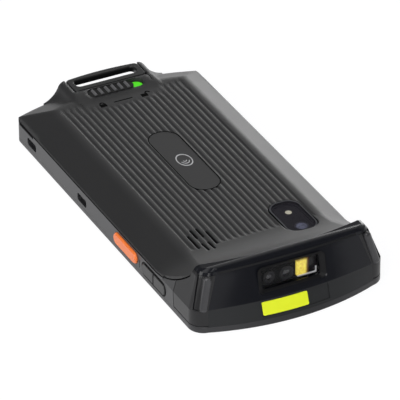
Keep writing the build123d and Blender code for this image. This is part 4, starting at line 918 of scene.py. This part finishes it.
@dataclass
class RimBead:
    """Rubber bead in the seam between the head's rim and its polished face.

    Attributes:
        nose: Foremost point of the face at the bead's height.
        radius: Radius of the face's bow.
        reach: How far the bead runs either side.
        lean: How far the face falls back over one millimetre of height.
        tall: Height of the bead.
        proud: How far its lower lip stands off the face.
        sunk: How far it goes in.
    """

    nose: Point = (0.0, -73.29, 21.9)
    radius: float = 406.0
    reach: float = 28.0
    lean: float = 0.41
    tall: float = 0.55
    proud: float = 0.26
    sunk: float = 0.3

    def build(self) -> None:
        """Make the bead."""
        half, fall = self.tall / 2, self.lean * self.tall / 2
        section = [(self.radius - self.sunk, -half), (self.radius + fall + self.proud, -half),
                   (self.radius - fall + self.proud / 2, half), (self.radius - self.sunk, half)]
        swing = math.degrees(math.asin(self.reach / self.radius))
        place = Matrix.Translation(Vector(self.nose) + Vector((0, self.radius, 0)))
        shape = Shape()
        shape.lathe(section, place, start=270 - swing, turn=2 * swing, steps=24)
        shape.settle("rim_bead", BUMPER_TPU, "terminal")


@dataclass
class CameraOptics:
    """Ink mask, lens and flash behind the camera's cover glass.

    Attributes:
        lens_xy: Middle of the lens.
        lens_radius: Radius of its ring.
        lens_share: Inner radius of the ring over its outer one.
        lens_gap: Gap between ring and lens.
        flash_xy: Middle of the flash.
        flash_radius: Radius of the flash's lens.
        inset: How far the mask stays inside the glass's edge.
        corner: Radius of the mask's corners.
        mask_t: Thickness of the mask.
        module_top: Top of the camera module, just under the mask.
        room: Height between the mask and the glass.
    """

    lens_xy: Pair = (18.5, -48.9)
    lens_radius: float = 2.8
    lens_share: float = 0.78
    lens_gap: float = 0.05
    flash_xy: Pair = (18.5, -38.6)
    flash_radius: float = 1.25
    inset: float = 0.1
    corner: float = 4.8
    mask_t: float = 0.06
    module_top: float = 14.62
    room: float = 0.1

    def build(self) -> None:
        """Make the mask, the lens with its ring, and the flash's lens."""
        self._mask()
        seat = self.module_top + self.mask_t
        lens_place = Matrix.Translation((*self.lens_xy, seat))
        inner = self.lens_radius * self.lens_share
        ring = Shape()
        ring.lathe([(inner, 0), (self.lens_radius, 0), (self.lens_radius, self.room / 2),
                    (inner, self.room)], lens_place)
        ring.settle("camera_lens_ring", VIOLET_RING, "terminal")
        lens = Shape()
        lens.lathe(dome_profile(inner - self.lens_gap, self.room), lens_place)
        lens.settle("camera_front_lens", CAMERA_LENS, "terminal")
        flash = Shape()
        flash.lathe(dome_profile(self.flash_radius, self.room), Matrix.Translation((*self.flash_xy, seat)))
        flash.settle("flash_lens", FLASH_SILICONE, "terminal")

    def _mask(self) -> None:
        """Make the thin ink mask, rounded as the glass is."""
        low, high = in_mm(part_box("camera_glass"))
        shape = Shape()
        shape.bar((low.x + self.inset, low.y + self.inset, self.module_top),
                  (high.x - self.inset, high.y - self.inset, self.module_top + self.mask_t))
        upright = [edge for edge in shape.mesh.edges
                   if abs(edge.verts[0].co.z - edge.verts[1].co.z) > self.mask_t / 2]
        bmesh.ops.bevel(shape.mesh, geom=upright, offset=self.corner, segments=10, profile=0.5,
                        affect="EDGES", material=-1)
        shape.settle("camera_glass_mask", BLACK_INK, "terminal")


# ------------------------ studio
@dataclass(frozen=True)
class Softbox:
    """A soft rectangular lamp that faces the terminal.

    Attributes:
        name: The lamp's name.
        place: Where it hangs, in metres.
        size: Its width and height, in metres.
        radiance: Brightness of its face, where 1 is paper white.
    """

    name: str
    place: Point
    size: Pair
    radiance: float

    def hang(self) -> None:
        """Make the lamp and aim it."""
        data = bpy.data.lights.new(self.name, "AREA")
        data.shape = "RECTANGLE"
        data.size, data.size_y = self.size
        data.energy = self.radiance * math.pi * self.size[0] * self.size[1]
        lamp = bpy.data.objects.new(self.name, data)
        bpy.context.scene.collection.objects.link(lamp)
        lamp.location = self.place
        lamp.rotation_mode = "QUATERNION"
        lamp.rotation_quaternion = (-Vector(self.place)).to_track_quat("-Z", "Y")


@dataclass
class Studio:
    """Pale floor, soft lights and the camera.

    Attributes:
        azimuth: The camera's bearing, in degrees.
        elevation: Its height above the floor, in degrees.
        target_mm: Where it looks.
        lens_mm: Its focal length.
        distance_mm: Its distance from there.
        clip_end: How far it sees, in metres.
        softboxes: The lamps.
        sky_axis: Direction of the brightest part of the room.
        sky_range: Cosines from that direction at which the room is dimmest and brightest.
        sky_levels: The room's dimmest and brightest level.
        floor_share: Share of the floor's white that keeps no shadow.
        floor_glow: Strength of that white; with the share it comes to paper white.
        floor_colour: sRGB hex of the part that keeps it.
        floor_half: Half the floor's width, in metres.
        floor_drop: Its distance below the terminal, in metres.
    """

    azimuth: float = -27.1
    elevation: float = 32.55
    target_mm: Point = (3.877, 4.2, 0.0)
    lens_mm: float = 373.5
    distance_mm: float = 1560.0
    clip_end: float = 50.0
    softboxes: tuple[Softbox, ...] = (
        Softbox("key_softbox", (-0.7, -0.7, 1.0), (0.8, 0.8), 4.0),
        Softbox("front_softbox", (-0.35, -1.2, 0.55), (0.7, 0.4), 5.0),
        Softbox("left_softbox", (-1.3, 0.1, 0.45), (0.7, 0.4), 5.0),
        Softbox("right_softbox", (1.2, 1.3, 0.2), (1.0, 0.4), 4.0),
        Softbox("top_softbox", (-0.1, 0.3, 1.4), (0.8, 0.8), 2.0),
    )
    sky_axis: Point = (0.74, 0.65, -0.15)
    sky_range: Pair = (0.1, 1.0)
    sky_levels: Pair = (0.2, 0.55)
    floor_share: float = 0.83
    floor_glow: float = 1.08
    floor_colour: str = "#eeeef6"
    floor_half: float = 15.0
    floor_drop: float = 0.0001

    def build(self) -> None:
        """Make the floor, the lamps, the room and the camera."""
        self._floor()
        self._room()
        for softbox in self.softboxes:
            softbox.hang()
        self._camera()
        LOG.info("studio set with %d softboxes", len(self.softboxes))

    def _camera(self) -> None:
        """Aim a long lens at the middle of the terminal."""
        turn, rise = math.radians(self.azimuth), math.radians(self.elevation)
        back = Vector((math.sin(turn) * math.cos(rise), -math.cos(turn) * math.cos(rise), math.sin(rise)))
        data = bpy.data.cameras.new("camera")
        data.lens = self.lens_mm
        data.clip_end = self.clip_end
        camera = bpy.data.objects.new("camera", data)
        bpy.context.scene.collection.objects.link(camera)
        camera.location = (Vector(self.target_mm) + back * self.distance_mm) * MM
        camera.rotation_mode = "QUATERNION"
        camera.rotation_quaternion = (-back).to_track_quat("-Z", "Y")
        bpy.context.scene.camera = camera

    def _floor(self) -> None:
        """Lay the pale floor, which is white to the eye and keeps a faint shadow."""
        mesh = bmesh.new()
        bmesh.ops.create_grid(mesh, x_segments=1, y_segments=1, size=self.floor_half)
        data = bpy.data.meshes.new("floor")
        mesh.to_mesh(data)
        mesh.free()
        floor = bpy.data.objects.new("floor", data)
        bpy.context.scene.collection.objects.link(floor)
        floor.location = (0, 0, -self.floor_drop)
        material = bpy.data.materials.new("pale_paper")
        material.use_nodes = True
        tree = material.node_tree
        tree.nodes.clear()
        paper = add_node(tree, "ShaderNodeBsdfDiffuse", Color=srgb(self.floor_colour))
        glow = add_node(tree, "ShaderNodeEmission", Color=srgb(WHITE), Strength=self.floor_glow)
        seen = self._seen(tree, ("Is Camera Ray", "Is Glossy Ray", "Is Transmission Ray"))
        share = add_node(tree, "ShaderNodeMath", {0: seen}, operation="MULTIPLY")
        share.inputs[1].default_value = self.floor_share
        mix = add_node(tree, "ShaderNodeMixShader",
                       {0: share.outputs[0], 1: paper.outputs[0], 2: glow.outputs[0]})
        add_node(tree, "ShaderNodeOutputMaterial", {"Surface": mix.outputs[0]})
        data.materials.append(material)

    def _seen(self, tree: bpy.types.NodeTree, rays: tuple[str, ...]) -> bpy.types.NodeSocket:
        """Build the nodes that give 1 for any of these rays and 0 for the rest.

        Args:
            tree: Node tree that gets them.
            rays: Names of the Light Path outputs.

        Returns:
            The socket that holds the sum.
        """
        path = add_node(tree, "ShaderNodeLightPath")
        total = path.outputs[rays[0]]
        for ray in rays[1:]:
            total = add_node(tree, "ShaderNodeMath", {0: total, 1: path.outputs[ray]}, operation="ADD",
                             use_clamp=True).outputs[0]
        return total

    def _room(self) -> None:
        """Light the room from one bright side, and show it white to the eye."""
        world = bpy.data.worlds.new("studio")
        bpy.context.scene.world = world
        world.use_nodes = True
        tree = world.node_tree
        tree.nodes.clear()
        way = add_node(tree, "ShaderNodeTexCoord")
        facing = add_node(tree, "ShaderNodeVectorMath", {0: way.outputs["Generated"]},
                          operation="DOT_PRODUCT")
        facing.inputs[1].default_value = Vector(self.sky_axis).normalized()
        level = add_node(tree, "ShaderNodeMapRange", {"Value": facing.outputs["Value"]},
                         interpolation_type="SMOOTHSTEP", From_Min=self.sky_range[0],
                         From_Max=self.sky_range[1], To_Min=self.sky_levels[0], To_Max=self.sky_levels[1])
        room = add_node(tree, "ShaderNodeBackground", {"Strength": level.outputs["Result"]},
                        Color=srgb(WHITE))
        white = add_node(tree, "ShaderNodeBackground", Color=srgb(WHITE), Strength=1.0)
        seen = self._seen(tree, ("Is Camera Ray", "Is Transmission Ray"))
        mix = add_node(tree, "ShaderNodeMixShader", {0: seen, 1: room.outputs[0], 2: white.outputs[0]})
        add_node(tree, "ShaderNodeOutputWorld", {"Surface": mix.outputs[0]})


def main() -> None:
    """Dress the terminal and set the studio."""
    logging.basicConfig(level=logging.INFO)
    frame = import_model()
    bpy.context.scene.view_settings.view_transform = "Standard"
    Studio().build()
    dress(frame["nodes"])
    for pieces in (CoverMarks(), ScanOptics(), WindowCollar(), KeyGapShade(), SeamShades(), BumperRibs(), RimBead(),
                   CameraOptics()):
        pieces.build()


if __name__ == "__main__":
    main()
